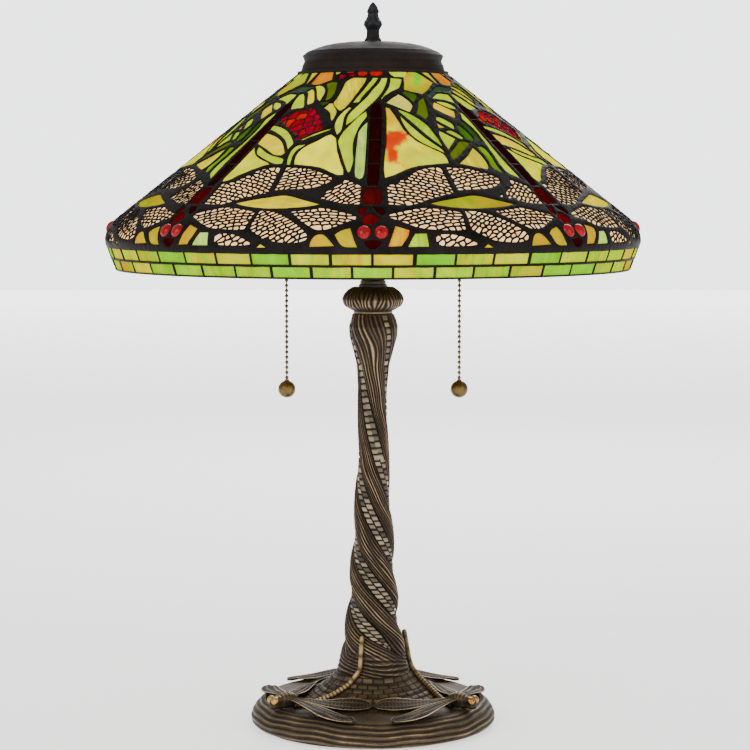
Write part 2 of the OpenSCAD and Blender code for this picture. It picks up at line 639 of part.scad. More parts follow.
module eye_cabochons() color([0.8, 0.05, 0.08]) each_fly() for (side = [-1, 1])
    rotate([0, 0, side * eye_az - 90]) let (c = shade_at(eye_s, -1.5))
        translate([c[0], 0, c[1]]) sphere(r = eye_r, $fn = 48);

module head_side_glass() color([0.75, 0.8, 0.4]) each_fly() {
    block(head0, lens0, s_head, s_mouth);
    block(lens1, sector - head0, s_head, s_mouth);
}

// One row of bricks, turned by a share of a brick
module brick_row(s0, s1, shift) let (half = 180 / bricks - gap_at(s0)) for (i = [0 : bricks - 1])
    rotate([0, 0, (i + shift) * 360 / bricks]) shade_piece(-half, half, s0, s1);

module upper_skirt_bricks() color([0.72, 0.78, 0.4]) brick_row(s_skirt, s_mid - came_w / 2, 0);
module lower_skirt_bricks() color([0.72, 0.78, 0.4]) brick_row(s_mid + came_w / 2, s_rim, 0.5);

// Solder between the pieces of glass: along a slant, across a sector, or all the way round
module came(az0, az1, s0, s1) shade_piece(az0, az1, s0, s1, -glass_t - came_proud, came_proud);
module came_bars(cuts, s0, s1) for (c = cuts) let (g = gap_at((s0 + s1) / 2))
    came(c - g, c + g, s0 + came_w / 2 + run_gap, s1 - came_w / 2 - run_gap);
module came_arc(c0, c1, s) came(c0, c1, s - came_w / 2, s + came_w / 2);

module lead_cames() color([0.17, 0.15, 0.14]) {
    came_arc(0, 360, s_tail);
    came_arc(0, 360, s_head);
    came(0, 360, s_mouth - came_w / 2, s_skirt);
    came_arc(0, 360, s_mid);
    came(0, 360, s_rim, s_end);
    each_flower_sector() {
        came_bars([cut1, cut2], s_top, s_tail);
        came_bars([cut2], s_tail, s_flower);
        came_bars([cut1], s_flower, s_belt);
    }
    each_leaf_sector() {
        came_bars([cut1, cut2], s_top, s_tail);
        came_bars([cut1, cut2], s_tail, s_flower);
        came_bars([cut1], s_flower, s_belt);
    }
    each_fly() {
        came_bars([-cut0, cut0], s_top, s_tail);
        came_bars([cut0, cut3], s_tail, s_flower);
        came_bars([cut0, cut3], s_flower, s_belt);
        came_arc(cut0, cut3, s_flower);
        came_arc(belt0, sector - belt0, s_belt);
        came_bars([belt0, sector / 2, sector - belt0], s_belt, s_lens);
        came_arc(belt0, sector - belt0, s_lens);
        came_bars([belt0, lens0, lens1, sector - belt0], s_lens, s_lower);
        came_arc(belt0, sector - belt0, s_lower);
        came_bars([belt0, sector / 2, sector - belt0], s_lower, s_head);
        came_arc(-cut0, cut0, s_thorax);
        came_bars([lens0, lens1], s_head, s_mouth);
    }
}

felt_pad();
foot_casting();
ballast_weight();
pipe_washer();
pipe_nut();
cord_bushing();
trunk_casting();
ornament_bodies();
ornament_wings();
ornament_tails();
ornament_eyes();
neck_knob();
check_ring();
center_pipe();
cluster_body();
cluster_cover();
cluster_screws();
wire_connectors();
riser_rod();
shade_rest();
socket_arm(LEFT);  // left_socket_arm
socket_cap(LEFT);  // left_socket_cap
socket_shell(LEFT);  // left_socket_shell
socket_liner(LEFT);  // left_socket_liner
socket_switch(LEFT);  // left_socket_switch
chain_bell(LEFT);  // left_chain_bell
bulb_glass(LEFT);  // left_bulb_glass
bulb_base(LEFT);  // left_bulb_base
switch_link(LEFT);  // left_switch_link
chain_beads(LEFT);  // left_chain_beads
pull_ball(LEFT);  // left_pull_ball
socket_arm(RIGHT);  // right_socket_arm
socket_cap(RIGHT);  // right_socket_cap
socket_shell(RIGHT);  // right_socket_shell
socket_liner(RIGHT);  // right_socket_liner
socket_switch(RIGHT);  // right_socket_switch
chain_bell(RIGHT);  // right_chain_bell
bulb_glass(RIGHT);  // right_bulb_glass
bulb_base(RIGHT);  // right_bulb_base
switch_link(RIGHT);  // right_switch_link
chain_beads(RIGHT);  // right_chain_beads
pull_ball(RIGHT);  // right_pull_ball
shade_top_ring();
shade_spider();
vented_cap();
field_glass();
swirl_glass();
leaf_glass();
flower_glass();
tail_glass();
upper_wing_glass();
lower_wing_glass();
lens_glass();
body_glass();
eye_cabochons();
head_side_glass();
upper_skirt_bricks();
lower_skirt_bricks();
lead_cames();
finial();
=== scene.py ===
"""Looks of a two-light dragonfly table lamp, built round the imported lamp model.

Lengths are in millimetres until a mesh is made. Azimuths are in degrees from the front (-Y)
towards the right (+X), and s is the distance down the outside of the shade from its top edge.
"""

import json
import logging
import math
import random
from dataclasses import dataclass, field
from enum import Enum
from typing import Callable, Iterable, Sequence

import bpy
import numpy as np
from mathutils import Matrix, Vector, kdtree
from mathutils.geometry import delaunay_2d_cdt


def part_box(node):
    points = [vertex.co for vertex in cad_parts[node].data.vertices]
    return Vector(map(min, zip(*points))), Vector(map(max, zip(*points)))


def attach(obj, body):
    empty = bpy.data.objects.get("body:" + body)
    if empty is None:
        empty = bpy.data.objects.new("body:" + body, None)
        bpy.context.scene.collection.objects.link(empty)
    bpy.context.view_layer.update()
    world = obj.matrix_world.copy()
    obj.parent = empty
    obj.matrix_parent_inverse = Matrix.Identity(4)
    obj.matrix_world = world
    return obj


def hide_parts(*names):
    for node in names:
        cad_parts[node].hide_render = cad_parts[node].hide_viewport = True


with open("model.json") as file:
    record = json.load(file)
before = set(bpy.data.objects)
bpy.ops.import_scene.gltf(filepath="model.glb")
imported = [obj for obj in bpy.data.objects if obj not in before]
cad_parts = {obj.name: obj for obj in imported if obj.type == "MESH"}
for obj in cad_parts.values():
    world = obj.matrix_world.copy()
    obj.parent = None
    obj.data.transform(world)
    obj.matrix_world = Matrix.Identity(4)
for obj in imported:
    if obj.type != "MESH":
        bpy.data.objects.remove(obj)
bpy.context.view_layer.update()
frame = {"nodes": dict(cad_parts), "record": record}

MM = 0.001
LOG = logging.getLogger("lamp")
Point = tuple[float, float]
Colour = tuple[float, float, float]


def linear(code: str) -> Colour:
    """Turns a six-digit colour code into linear red, green and blue."""
    parts = [int(code[i : i + 2], 16) / 255 for i in (0, 2, 4)]
    return tuple(c / 12.92 if c <= 0.04045 else ((c + 0.055) / 1.055) ** 2.4 for c in parts)


def node_box(name: str) -> tuple[Vector, Vector]:
    """Gives a CAD node's lowest and highest corners in millimetres."""
    low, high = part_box(name)
    return low / MM, high / MM


# ---------------------------------------------------------------- node trees


class NodeTree:
    """Builds one procedural material, node by node.

    Args:
        name: The material's name.
    """

    def __init__(self, name: str) -> None:
        """Starts a material with an empty Principled surface."""
        self.material = bpy.data.materials.new(name)
        self.material.use_nodes = True
        self.tree = self.material.node_tree
        self.surface = self.tree.nodes["Principled BSDF"]

    def add(self, kind: str, inputs: dict | None = None, **settings) -> bpy.types.Node:
        """Adds a node.

        Args:
            kind: The node type without its ShaderNode prefix.
            inputs: Socket name or index to a value or to another node's output.
            settings: Attributes of the node itself.

        Returns:
            The new node.
        """
        node = self.tree.nodes.new("ShaderNode" + kind)
        for key, value in settings.items():
            setattr(node, key, value)
        for key, value in (inputs or {}).items():
            self.feed(node.inputs[key], value)
        return node

    def feed(self, socket: bpy.types.NodeSocket, value) -> None:
        """Links an output to a socket, or sets the socket's value."""
        if isinstance(value, bpy.types.NodeSocket):
            self.tree.links.new(value, socket)
        elif isinstance(value, tuple) and len(value) == 3 and socket.type == "RGBA":
            socket.default_value = (*value, 1.0)
        else:
            socket.default_value = value

    def set(self, **inputs) -> None:
        """Feeds the surface's sockets, named with _ for a space."""
        for key, value in inputs.items():
            self.feed(self.surface.inputs[key.replace("_", " ")], value)

    def place(self, scale: Sequence[float] = (1, 1, 1)) -> bpy.types.NodeSocket:
        """Gives Object coordinates in millimetres, scaled along each axis."""
        where = self.add("TexCoord").outputs["Object"]
        stretch = tuple(x / MM for x in scale)
        return self.add("Mapping", {"Vector": where, "Scale": stretch}).outputs[0]

    def attribute(self, name: str, output: str = "Color") -> bpy.types.NodeSocket:
        """Gives a mesh attribute."""
        return self.add("Attribute", attribute_name=name).outputs[output]

    def noise(
        self, vector, scale: float, detail: float = 4, rough: float = 0.55, twist: float = 0
    ) -> bpy.types.NodeSocket:
        """Gives a noise value; scale is in features per millimetre."""
        inputs = {"Vector": vector, "Scale": scale, "Detail": detail, "Roughness": rough}
        inputs["Distortion"] = twist
        return self.add("TexNoise", inputs).outputs[0]

    def ramp(self, value, *stops: tuple[float, Colour | float]) -> bpy.types.NodeSocket:
        """Gives a colour ramp's colour; each stop is a place and a colour or a grey."""
        node = self.add("ValToRGB", {0: value})
        marks = node.color_ramp.elements
        while len(marks) < len(stops):
            marks.new(0.5)
        for mark, (where, shade) in zip(marks, stops):
            mark.position = where
            mark.color = (*shade, 1) if isinstance(shade, tuple) else (shade, shade, shade, 1)
        return node.outputs[0]

    def mix(self, share, a, b, kind: str = "MIX") -> bpy.types.NodeSocket:
        """Gives two colours mixed by a share."""
        node = self.add("Mix", data_type="RGBA", blend_type=kind)
        for index, value in ((0, share), (6, a), (7, b)):
            self.feed(node.inputs[index], value)
        return node.outputs[2]

    def math(self, operation: str, a, b=0.0) -> bpy.types.NodeSocket:
        """Gives the result of one sum."""
        return self.add("Math", {0: a, 1: b}, operation=operation).outputs[0]

    def bump(self, height, strength: float, depth: float) -> None:
        """Gives the surface a bump; depth is in millimetres."""
        inputs = {"Height": height, "Strength": strength, "Distance": depth * MM}
        self.set(Normal=self.add("Bump", inputs).outputs[0])


@dataclass(frozen=True)
class GlassFinish:
    """Opalescent sheet glass with streaks that follow each pane's own direction.

    Args:
        name: The material's name.
        streak: Share of the second tint in the streaks.
        glow: Strength of its painted glow, which stands in for light shining through the glass.
        roughness: How rough the surface is.
        ripple: Depth of the ripples.
        richness: Saturation of the tints.
        value: Brightness of the tints.
        gloss: Strength of the highlights.
    """

    name: str
    streak: float = 0.8
    glow: float = 0.25
    roughness: float = 0.16
    ripple: float = 0.5
    richness: float = 1.8
    value: float = 0.86
    gloss: float = 0.0

    def make(self) -> bpy.types.Material:
        """Builds the material."""
        n = NodeTree(self.name)
        grain = n.attribute("grain", "Vector")
        long = n.add("Mapping", {"Vector": grain, "Scale": (0.035, 0.22, 1)}).outputs[0]
        wisps = n.ramp(n.noise(long, 1.0, 5, 0.6, 0.7), (0.36, 0.0), (0.64, 1.0))
        cloud = n.noise(grain, 0.06, 3, 0.5, 0.4)
        share = n.math("MULTIPLY", wisps, self.streak)
        body = n.mix(share, n.attribute("tint_a"), n.attribute("tint_b"))
        depth = n.ramp(cloud, (0.3, 0.74), (0.7, 1.05))
        colour = n.mix(1.0, body, depth, "MULTIPLY")
        rich = {"Saturation": self.richness, "Value": self.value, "Color": colour}
        colour = n.add("HueSaturation", rich).outputs[0]
        n.set(Base_Color=colour, Roughness=self.roughness, IOR=1.45, Specular_IOR_Level=self.gloss)
        # The emission is painted glow that stands in for light shining through the glass.
        n.set(Emission_Color=colour, Emission_Strength=self.glow)
        fine = n.noise(long, 2.4, 3, 0.5, 0.4)
        n.bump(n.math("ADD", fine, cloud), 0.35, self.ripple)
        return n.material


@dataclass(frozen=True)
class GemFinish:
    """Clear coloured glass, as in a cabochon.

    Args:
        name: The material's name.
        core: Main colour.
        edge: Colour of the clouds in it.
        glow: Strength of its painted glow, which stands in for light shining through the gem.
    """

    name: str
    core: Colour
    edge: Colour
    glow: float = 0.05

    def make(self) -> bpy.types.Material:
        """Builds the material."""
        n = NodeTree(self.name)
        where = n.place()
        cloud = n.noise(where, 0.16, 4, 0.6, 1.0)
        share = n.ramp(cloud, (0.4, 0.0), (0.75, 0.8))
        n.set(Base_Color=n.mix(share, self.core, self.edge))
        n.set(Roughness=0.12, Specular_IOR_Level=0.15, Coat_Weight=0.12, Coat_Roughness=0.04)
        # The emission is painted glow that stands in for light shining through the gem.
        n.set(Emission_Color=self.core, Emission_Strength=self.glow)
        n.bump(cloud, 0.1, 0.3)
        return n.material


@dataclass(frozen=True)
class ReliefFinish:
    """Antiqued cast metal: dark in the recesses, rubbed bright on what stands proud.

    Args:
        name: The material's name.
        recess: Colour of the hollows.
        middle: Colour between hollows and rubbed places.
        rubbed: Colour of what stands proud.
        dull_tile: Colour of the darkest tiles.
        pale_tile: Colour of the palest tiles.
        metallic: How much of a metal it is.
        roughness: How rough the surface is.
        grain: Strength of the fine bumps.
    """

    name: str
    recess: Colour
    middle: Colour
    rubbed: Colour
    dull_tile: Colour = (0.05, 0.042, 0.03)
    pale_tile: Colour = (0.3, 0.24, 0.155)
    metallic: float = 0.6
    roughness: float = 0.45
    grain: float = 0.5

    def make(self) -> bpy.types.Material:
        """Builds the material; the mesh has a relief attribute from 0 to 1."""
        n = NodeTree(self.name)
        where = n.place()
        relief = n.attribute("relief", "Fac")
        patch = n.noise(where, 0.05, 4, 0.6)
        speck = n.noise(where, 0.9, 3, 0.7)
        level = n.math("ADD", relief, n.math("MULTIPLY", n.math("SUBTRACT", patch, 0.5), 0.5))
        level = n.math("ADD", level, n.math("MULTIPLY", n.math("SUBTRACT", speck, 0.5), 0.35))
        cast = n.ramp(level, (0.12, self.recess), (0.62, self.middle), (1.0, self.rubbed))
        tile = n.ramp(level, (0.1, self.dull_tile), (0.9, self.pale_tile))
        colour = n.mix(n.attribute("inlay", "Fac"), cast, tile)
        worn = n.ramp(level, (0.2, self.roughness + 0.22), (0.9, self.roughness - 0.08))
        n.set(Base_Color=colour, Metallic=self.metallic, Roughness=worn)
        n.bump(n.math("ADD", speck, n.noise(where, 0.25, 4, 0.6)), self.grain, 0.25)
        return n.material


@dataclass(frozen=True)
class MetalFinish:
    """Plain metal with a worn, slightly uneven surface.

    Args:
        name: The material's name.
        base: Main colour.
        second: Colour of the patches.
        roughness: How rough the surface is.
        metallic: How much of a metal it is.
        coarse: Scale of the patches, in features per millimetre.
        fine: Scale of the specks, in features per millimetre.
        bumps: Strength of the fine bumps.
        specular: Strength of the highlights.
    """

    name: str
    base: Colour
    second: Colour
    roughness: float = 0.35
    metallic: float = 1.0
    coarse: float = 0.05
    fine: float = 0.8
    bumps: float = 0.25
    specular: float = 0.5

    def make(self) -> bpy.types.Material:
        """Builds the material."""
        n = NodeTree(self.name)
        where = n.place()
        patch = n.noise(where, self.coarse, 5, 0.6)
        speck = n.noise(where, self.fine, 3, 0.6)
        share = n.ramp(n.math("ADD", n.math("MULTIPLY", patch, 0.7), n.math("MULTIPLY", speck, 0.3)),
                       (0.35, 0.0), (0.65, 1.0))
        n.set(Base_Color=n.mix(share, self.base, self.second), Metallic=self.metallic)
        n.set(Roughness=n.ramp(patch, (0.3, self.roughness - 0.08), (0.7, self.roughness + 0.1)))
        n.set(Specular_IOR_Level=self.specular)
        n.bump(speck, self.bumps, 0.2)
        return n.material


@dataclass(frozen=True)
class DullFinish:
    """Felt, card, plastic and other surfaces that aren't metal.

    Args:
        name: The material's name.
        base: Main colour.
        second: Colour of the clouds.
        roughness: How rough the surface is.
        scale: Scale of the clouds, in features per millimetre.
        depth: Depth of the bumps.
        sheen: Strength of the sheen.
    """

    name: str
    base: Colour
    second: Colour
    roughness: float = 0.6
    scale: float = 0.6
    depth: float = 0.2
    sheen: float = 0.0

    def make(self) -> bpy.types.Material:
        """Builds the material."""
        n = NodeTree(self.name)
        where = n.place()
        cloud = n.noise(where, self.scale, 5, 0.65)
        n.set(Base_Color=n.mix(n.ramp(cloud, (0.3, 0.0), (0.7, 1.0)), self.base, self.second))
        n.set(Roughness=self.roughness, Sheen_Weight=self.sheen)
        n.bump(cloud, 0.4, self.depth)
        return n.material


# ---------------------------------------------------------------- mesh helpers


def deselect() -> None:
    """Leaves nothing selected and nothing in edit mode."""
    if bpy.context.object and bpy.context.object.mode != "OBJECT":
        bpy.ops.object.mode_set(mode="OBJECT")
    bpy.ops.object.select_all(action="DESELECT")


def activate(piece: bpy.types.Object) -> None:
    """Makes one object the only one selected, and the active one."""
    deselect()
    piece.select_set(True)
    bpy.context.view_layer.objects.active = piece


def smooth(piece: bpy.types.Object, angle: float = 35) -> None:
    """Shades a piece smooth across all but its sharp edges."""
    activate(piece)
    bpy.ops.object.shade_smooth_by_angle(angle=math.radians(angle))


def settle(piece: bpy.types.Object) -> None:
    """Moves a piece's place and turn into its mesh."""
    activate(piece)
    bpy.ops.object.transform_apply(location=True, rotation=True, scale=True)


def mesh_piece(name: str, points: np.ndarray, faces: Iterable) -> bpy.types.Object:
    """Makes an object from points in metres and faces.

    Args:
        name: The piece's name.
        points: One row per vertex, in metres.
        faces: Vertex numbers of each face, counter-clockwise from outside.

    Returns:
        The new object, at the origin.
    """
    mesh = bpy.data.meshes.new(name)
    mesh.from_pydata(np.asarray(points).tolist(), [], [list(map(int, f)) for f in faces])
    mesh.update()
    piece = bpy.data.objects.new(name, mesh)
    bpy.context.scene.collection.objects.link(piece)
    return piece


def paint(piece: bpy.types.Object, name: str, kind: str, values: np.ndarray) -> None:
    """Writes a per-vertex attribute.

    Args:
        piece: The mesh object.
        name: The attribute's name.
        kind: FLOAT, FLOAT_VECTOR or FLOAT_COLOR.
        values: One row per vertex.
    """
    layer = piece.data.attributes.new(name, kind, "POINT")
    key = {"FLOAT": "value", "FLOAT_VECTOR": "vector", "FLOAT_COLOR": "color"}[kind]
    values = np.asarray(values, np.float32)
    if kind == "FLOAT_COLOR" and values.shape[1] == 3:
        values = np.hstack([values, np.ones((len(values), 1), np.float32)])
    layer.data.foreach_set(key, values.ravel())


def dress(piece: bpy.types.Object, material: bpy.types.Material) -> None:
    """Gives a piece one material."""
    piece.data.materials.clear()
    piece.data.materials.append(material)


@dataclass
class Place:
    """Where a piece belongs in the lamp.

    Args:
        body: The CAD body it rides on.
        nodes: The CAD nodes it stands for.
        slot: The material slot of the record; not used.
    """

    body: str
    nodes: tuple[str, ...] = ()
    slot: str = ""

    def put(self, piece: bpy.types.Object, material: bpy.types.Material) -> bpy.types.Object:
        """Dresses a finished piece and hands it to its body."""
        dress(piece, material)
        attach(piece, self.body)
        if self.nodes:
            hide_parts(*self.nodes)
        LOG.info("%s: %d faces", piece.name, len(piece.data.polygons))
        return piece


# ---------------------------------------------------------------- outlines on the shade


def catmull(p0, p1, p2, p3, t: float) -> Point:
    """Gives the point at share t between p1 and p2 on a smooth curve through all four."""
    a, b = t * t, t * t * t
    return tuple(
        0.5 * (2 * q1 + (q2 - q0) * t + (2 * q0 - 5 * q1 + 4 * q2 - q3) * a
               + (3 * q1 - q0 - 3 * q2 + q3) * b)
        for q0, q1, q2, q3 in zip(p0, p1, p2, p3)
    )


@dataclass
class Meridian:
    """The outside of the shade as a curve that is turned round the lamp's axis.

    Args:
        top_r: Radius of the cone's top edge.
        cone_r: Radius at the foot of the cone.
        shoulder_r: Radius at the widest place.
        rim_r: Radius of the bottom rim.
        rim_z: Height of the bottom rim.
        skirt_h: Height of the rows of bricks.
        shoulder_h: Height of the shoulder.
        cone_h: Height of the cone.
        blend: Distance over which corners are rounded.
        lead: How far the curve is carried on past both ends.
    """

    top_r: float = 64
    cone_r: float = 222
    shoulder_r: float = 231.5
    rim_r: float = 222.5
    rim_z: float = 401.5
    skirt_h: float = 20
    shoulder_h: float = 23.5
    cone_h: float = 125
    blend: float = 5
    lead: float = 12

    def __post_init__(self) -> None:
        """Samples the curve every half millimetre and rounds its corners."""
        skirt_z = self.rim_z + self.skirt_h
        cone_z = skirt_z + self.shoulder_h
        knots = np.array([
            (self.top_r, cone_z + self.cone_h),
            (self.cone_r, cone_z),
            (self.shoulder_r - 0.26 * (self.shoulder_r - self.cone_r), cone_z - 0.36 * self.shoulder_h),
            (self.shoulder_r, cone_z - 0.72 * self.shoulder_h),
            (self.shoulder_r - 1.7, skirt_z),
            (self.rim_r, self.rim_z),
        ])
        steps = np.hypot(*np.diff(knots, axis=0).T)
        marks = np.concatenate([[0], np.cumsum(steps)])
        self.length = marks[-1]
        self.slope = (self.cone_r - self.top_r) / steps[0]
        self.s = np.arange(-self.lead, self.length + self.lead, 0.5)
        run = np.array([self._follow(knots, marks, s) for s in self.s])
        width = int(self.blend / 0.5)
        kernel = np.hanning(2 * width + 3)[1:-1]
        kernel /= kernel.sum()
        padded = np.pad(run, ((width, width), (0, 0)), "reflect", reflect_type="odd")
        run = np.stack([np.convolve(padded[:, k], kernel, "valid") for k in (0, 1)], 1)
        self.r, self.z = run[:, 0], run[:, 1]
        ahead = np.gradient(run, axis=0)
        ahead /= np.hypot(*ahead.T)[:, None]
        self.nr, self.nz = -ahead[:, 1], ahead[:, 0]

    @staticmethod
    def _follow(knots: np.ndarray, marks: np.ndarray, s: float) -> np.ndarray:
        """Gives the point at distance s on the straight runs, carried on past both ends."""
        i = int(np.clip(np.searchsorted(marks, s) - 1, 0, len(marks) - 2))
        t = (s - marks[i]) / (marks[i + 1] - marks[i])
        return knots[i] + t * (knots[i + 1] - knots[i])

    def radius(self, s):
        """Gives the radius at distance s."""
        return np.interp(s, self.s, self.r)

    def surface(self, az, s, out) -> np.ndarray:
        """Gives points on or near the shade.

        Args:
            az: Azimuths in degrees.
            s: Distances down the outside.
            out: Distances out from the surface.

        Returns:
            One row per point, in metres.
        """
        az = np.radians(np.asarray(az, float))
        out = np.asarray(out, float)
        r = np.interp(s, self.s, self.r) + np.interp(s, self.s, self.nr) * out
        z = np.interp(s, self.s, self.z) + np.interp(s, self.s, self.nz) * out
        return np.stack([r * np.sin(az), -r * np.cos(az), z], 1) * MM

    def flat(self, az, s) -> np.ndarray:
        """Lays points of the shade out in a ring in the plane, in millimetres."""
        r = self.top_r + self.slope * np.asarray(s, float)
        az = np.radians(np.asarray(az, float))
        return np.stack([r * np.sin(az), -r * np.cos(az)], 1)

    def unflat(self, xy: np.ndarray) -> tuple[np.ndarray, np.ndarray]:
        """Gives azimuths and distances of points of the plane ring."""
        az = np.degrees(np.arctan2(xy[:, 0], -xy[:, 1]))
        return az, (np.hypot(*xy.T) - self.top_r) / self.slope


class Glass(Enum):
    """The kinds of glass in the shade; each value is the CAD node that it fills."""

    FIELD = "field_glass"
    SWIRL = "swirl_glass"
    LEAF = "leaf_glass"
    FLOWER = "flower_glass"
    TAIL = "tail_glass"
    UPPER_WING = "upper_wing_glass"
    LOWER_WING = "lower_wing_glass"
    LENS = "lens_glass"
    BODY = "body_glass"
    SIDE = "head_side_glass"
    UPPER_BRICK = "upper_skirt_bricks"
    LOWER_BRICK = "lower_skirt_bricks"


@dataclass
class Pane:
    """One piece of glass.

    Args:
        glass: What kind of glass it is.
        outline: Closed outline as azimuths and distances.
        tints: The two colours that run through it.
        lean: Direction of its streaks, in degrees from the downward line.
        shade: A colour for each point instead, from its azimuth and distance.
    """

    glass: Glass
    outline: list[Point]
    tints: tuple[Colour, Colour]
    lean: float = 0
    shade: Callable | None = None


@dataclass
class Outliner:
    """Turns given points into smooth outlines on the shade.

    Args:
        meridian: The shade's surface.
        corner: Turns sharper than this many degrees stay corners.
        step: Distance between points along a curve.
    """

    meridian: Meridian
    corner: float = 52
    step: float = 2.2

    def _turn(self, points: Sequence[Point], i: int) -> float:
        """Gives how sharply an outline turns at a point, in degrees."""
        a, b, c = (points[(i + k) % len(points)] for k in (-1, 0, 1))
        wide = math.radians(float(self.meridian.radius(b[1])))
        one = math.atan2(b[1] - a[1], (b[0] - a[0]) * wide)
        two = math.atan2(c[1] - b[1], (c[0] - b[0]) * wide)
        return abs((math.degrees(two - one) + 180) % 360 - 180)

    def closed(self, points: Sequence[Point], step: float | None = None) -> list[Point]:
        """Gives a smooth closed outline through points, sharp where they turn sharply."""
        step = step or self.step
        count = len(points)
        sharp = [self._turn(points, i) > self.corner for i in range(count)]
        made = []
        for i in range(count):
            p0, p1, p2, p3 = (points[(i + k) % count] for k in (-1, 0, 1, 2))
            if sharp[i]:
                p0 = tuple(2 * a - b for a, b in zip(p1, p2))
            if sharp[(i + 1) % count]:
                p3 = tuple(2 * a - b for a, b in zip(p2, p1))
            wide = math.radians(float(self.meridian.radius(p1[1])))
            span = math.hypot((p2[0] - p1[0]) * wide, p2[1] - p1[1])
            parts = max(1, round(span / step))
            made += [catmull(p0, p1, p2, p3, k / parts) for k in range(parts)]
        return made

    def strip(self, upper: Sequence[Point], lower: Sequence[Point]) -> list[Point]:
        """Gives a smooth outline between an upper and a lower curve."""
        return self.closed(list(upper) + list(lower)[::-1])


def inside_half(polygon: list[Point], point: Point, normal: Point, back: float) -> list[Point]:
    """Cuts a convex polygon, keeping what lies behind a line.

    Args:
        polygon: The polygon in the plane.
        point: A point on the line.
        normal: The line's unit normal, which points at the side that goes.
        back: How far the cut is set back.

    Returns:
        The polygon that is left.
    """
    limit = point[0] * normal[0] + point[1] * normal[1] - back
    far = [x * normal[0] + y * normal[1] - limit for x, y in polygon]
    kept = []
    for i, (here, d) in enumerate(zip(polygon, far)):
        there, e = polygon[i - 1], far[i - 1]
        if (d > 0) != (e > 0):
            t = e / (e - d)
            kept.append((there[0] + t * (here[0] - there[0]), there[1] + t * (here[1] - there[1])))
        if d <= 0:
            kept.append(here)
    return kept


def area(polygon: Sequence[Point]) -> float:
    """Gives a polygon's area, positive when it runs counter-clockwise."""
    return 0.5 * sum(a[0] * b[1] - b[0] * a[1] for a, b in zip(polygon, polygon[1:] + polygon[:1]))


def contains(polygon: Sequence[Point], x: float, y: float) -> bool:
    """Tells whether a point is inside a polygon."""
    odd = False
    for (x0, y0), (x1, y1) in zip(polygon, polygon[1:] + polygon[:1]):
        if (y0 > y) != (y1 > y) and x < x0 + (y - y0) * (x1 - x0) / (y1 - y0):
            odd = not odd
    return odd


@dataclass
class Filigree:
    """Fills a wing with small cells, as the veins of a dragonfly's wing do.

    Args:
        row: Distance between rows of cells.
        pitch: Distance between cells in a row.
        vein: Width of the solder between cells.
        edge: Distance of the cells from the wing's outline.
    """

    row: float = 3.0
    pitch: float = 6.0
    vein: float = 1.28
    edge: float = 0.35

    def seeds(self, wing: list[Point], tilt: float, rng: random.Random) -> list[Point]:
        """Scatters cell centres in staggered rows over a wing in the plane."""
        cx = sum(x for x, _ in wing) / len(wing)
        cy = sum(y for _, y in wing) / len(wing)
        reach = max(math.hypot(x - cx, y - cy) for x, y in wing)
        co, si = math.cos(tilt), math.sin(tilt)
        found = []
        rows = int(reach / self.row) + 1
        for j in range(-rows, rows + 1):
            u = -reach + rng.random() * self.pitch
            while u < reach:
                bow = 0.06 * reach * math.sin(u / reach * 1.6)
                v = j * self.row + rng.uniform(-0.14, 0.14) * self.row + bow
                x, y = cx + u * co - v * si, cy + u * si + v * co
                if contains(wing, x, y):
                    found.append((x, y))
                u += self.pitch * rng.uniform(0.6, 1.4)
        return found

    def cells(self, wing: list[Point], tilt: float, rng: random.Random) -> list[list[Point]]:
        """Gives the rounded outlines of all the cells of a wing in the plane."""
        seeds = self.seeds(wing, tilt, rng)
        if area(wing) < 0:
            wing = wing[::-1]
        co, si = math.cos(tilt), math.sin(tilt)
        stretch = self.pitch / self.row
        short = [((x * co + y * si) / stretch, y * co - x * si) for x, y in seeds]
        tree = kdtree.KDTree(len(seeds))
        for i, (u, v) in enumerate(short):
            tree.insert((u, v, 0), i)
        tree.balance()
        edges = []
        for a, b in zip(wing, wing[1:] + wing[:1]):
            run = math.hypot(b[0] - a[0], b[1] - a[1]) or 1
            edges.append((a, b, ((b[1] - a[1]) / run, (a[0] - b[0]) / run)))
        reach = 1.7 * self.pitch
        made = []
        for (x, y), (u, v) in zip(seeds, short):
            w = 1.1 * self.pitch
            cell = [(x - w, y - w), (x + w, y - w), (x + w, y + w), (x - w, y + w)]
            for where, i, gap in tree.find_n((u, v, 0), 14):
                if gap > 1e-6:
                    du, dv = (where.x - u) / stretch, where.y - v
                    size = math.hypot(du, dv)
                    away = ((du * co - dv * si) / size, (du * si + dv * co) / size)
                    middle = ((seeds[i][0] + x) / 2, (seeds[i][1] + y) / 2)
                    cell = inside_half(cell, middle, away, self.vein / 2)
            for a, b, away in edges:
                if min(math.hypot(a[0] - x, a[1] - y), math.hypot(b[0] - x, b[1] - y)) < reach:
                    cell = inside_half(cell, a, away, self.edge)
            cell = self.rounded(cell)
            if len(cell) > 2 and area(cell) > 1.6:
                made.append(cell)
        return made

    @staticmethod
    def rounded(cell: list[Point]) -> list[Point]:
        """Cuts each corner of a cell once, after close points are joined."""
        clean = [p for i, p in enumerate(cell) if math.dist(p, cell[i - 1]) > 0.35]
        made = []
        for a, b in zip(clean, clean[1:] + clean[:1]):
            cut = min(0.3, 0.8 / max(math.dist(a, b), 0.1))
            made += [tuple(p + (q - p) * t for p, q in zip(a, b)) for t in (cut, 1 - cut)]
        return made


# ---------------------------------------------------------------- the dragonfly pattern

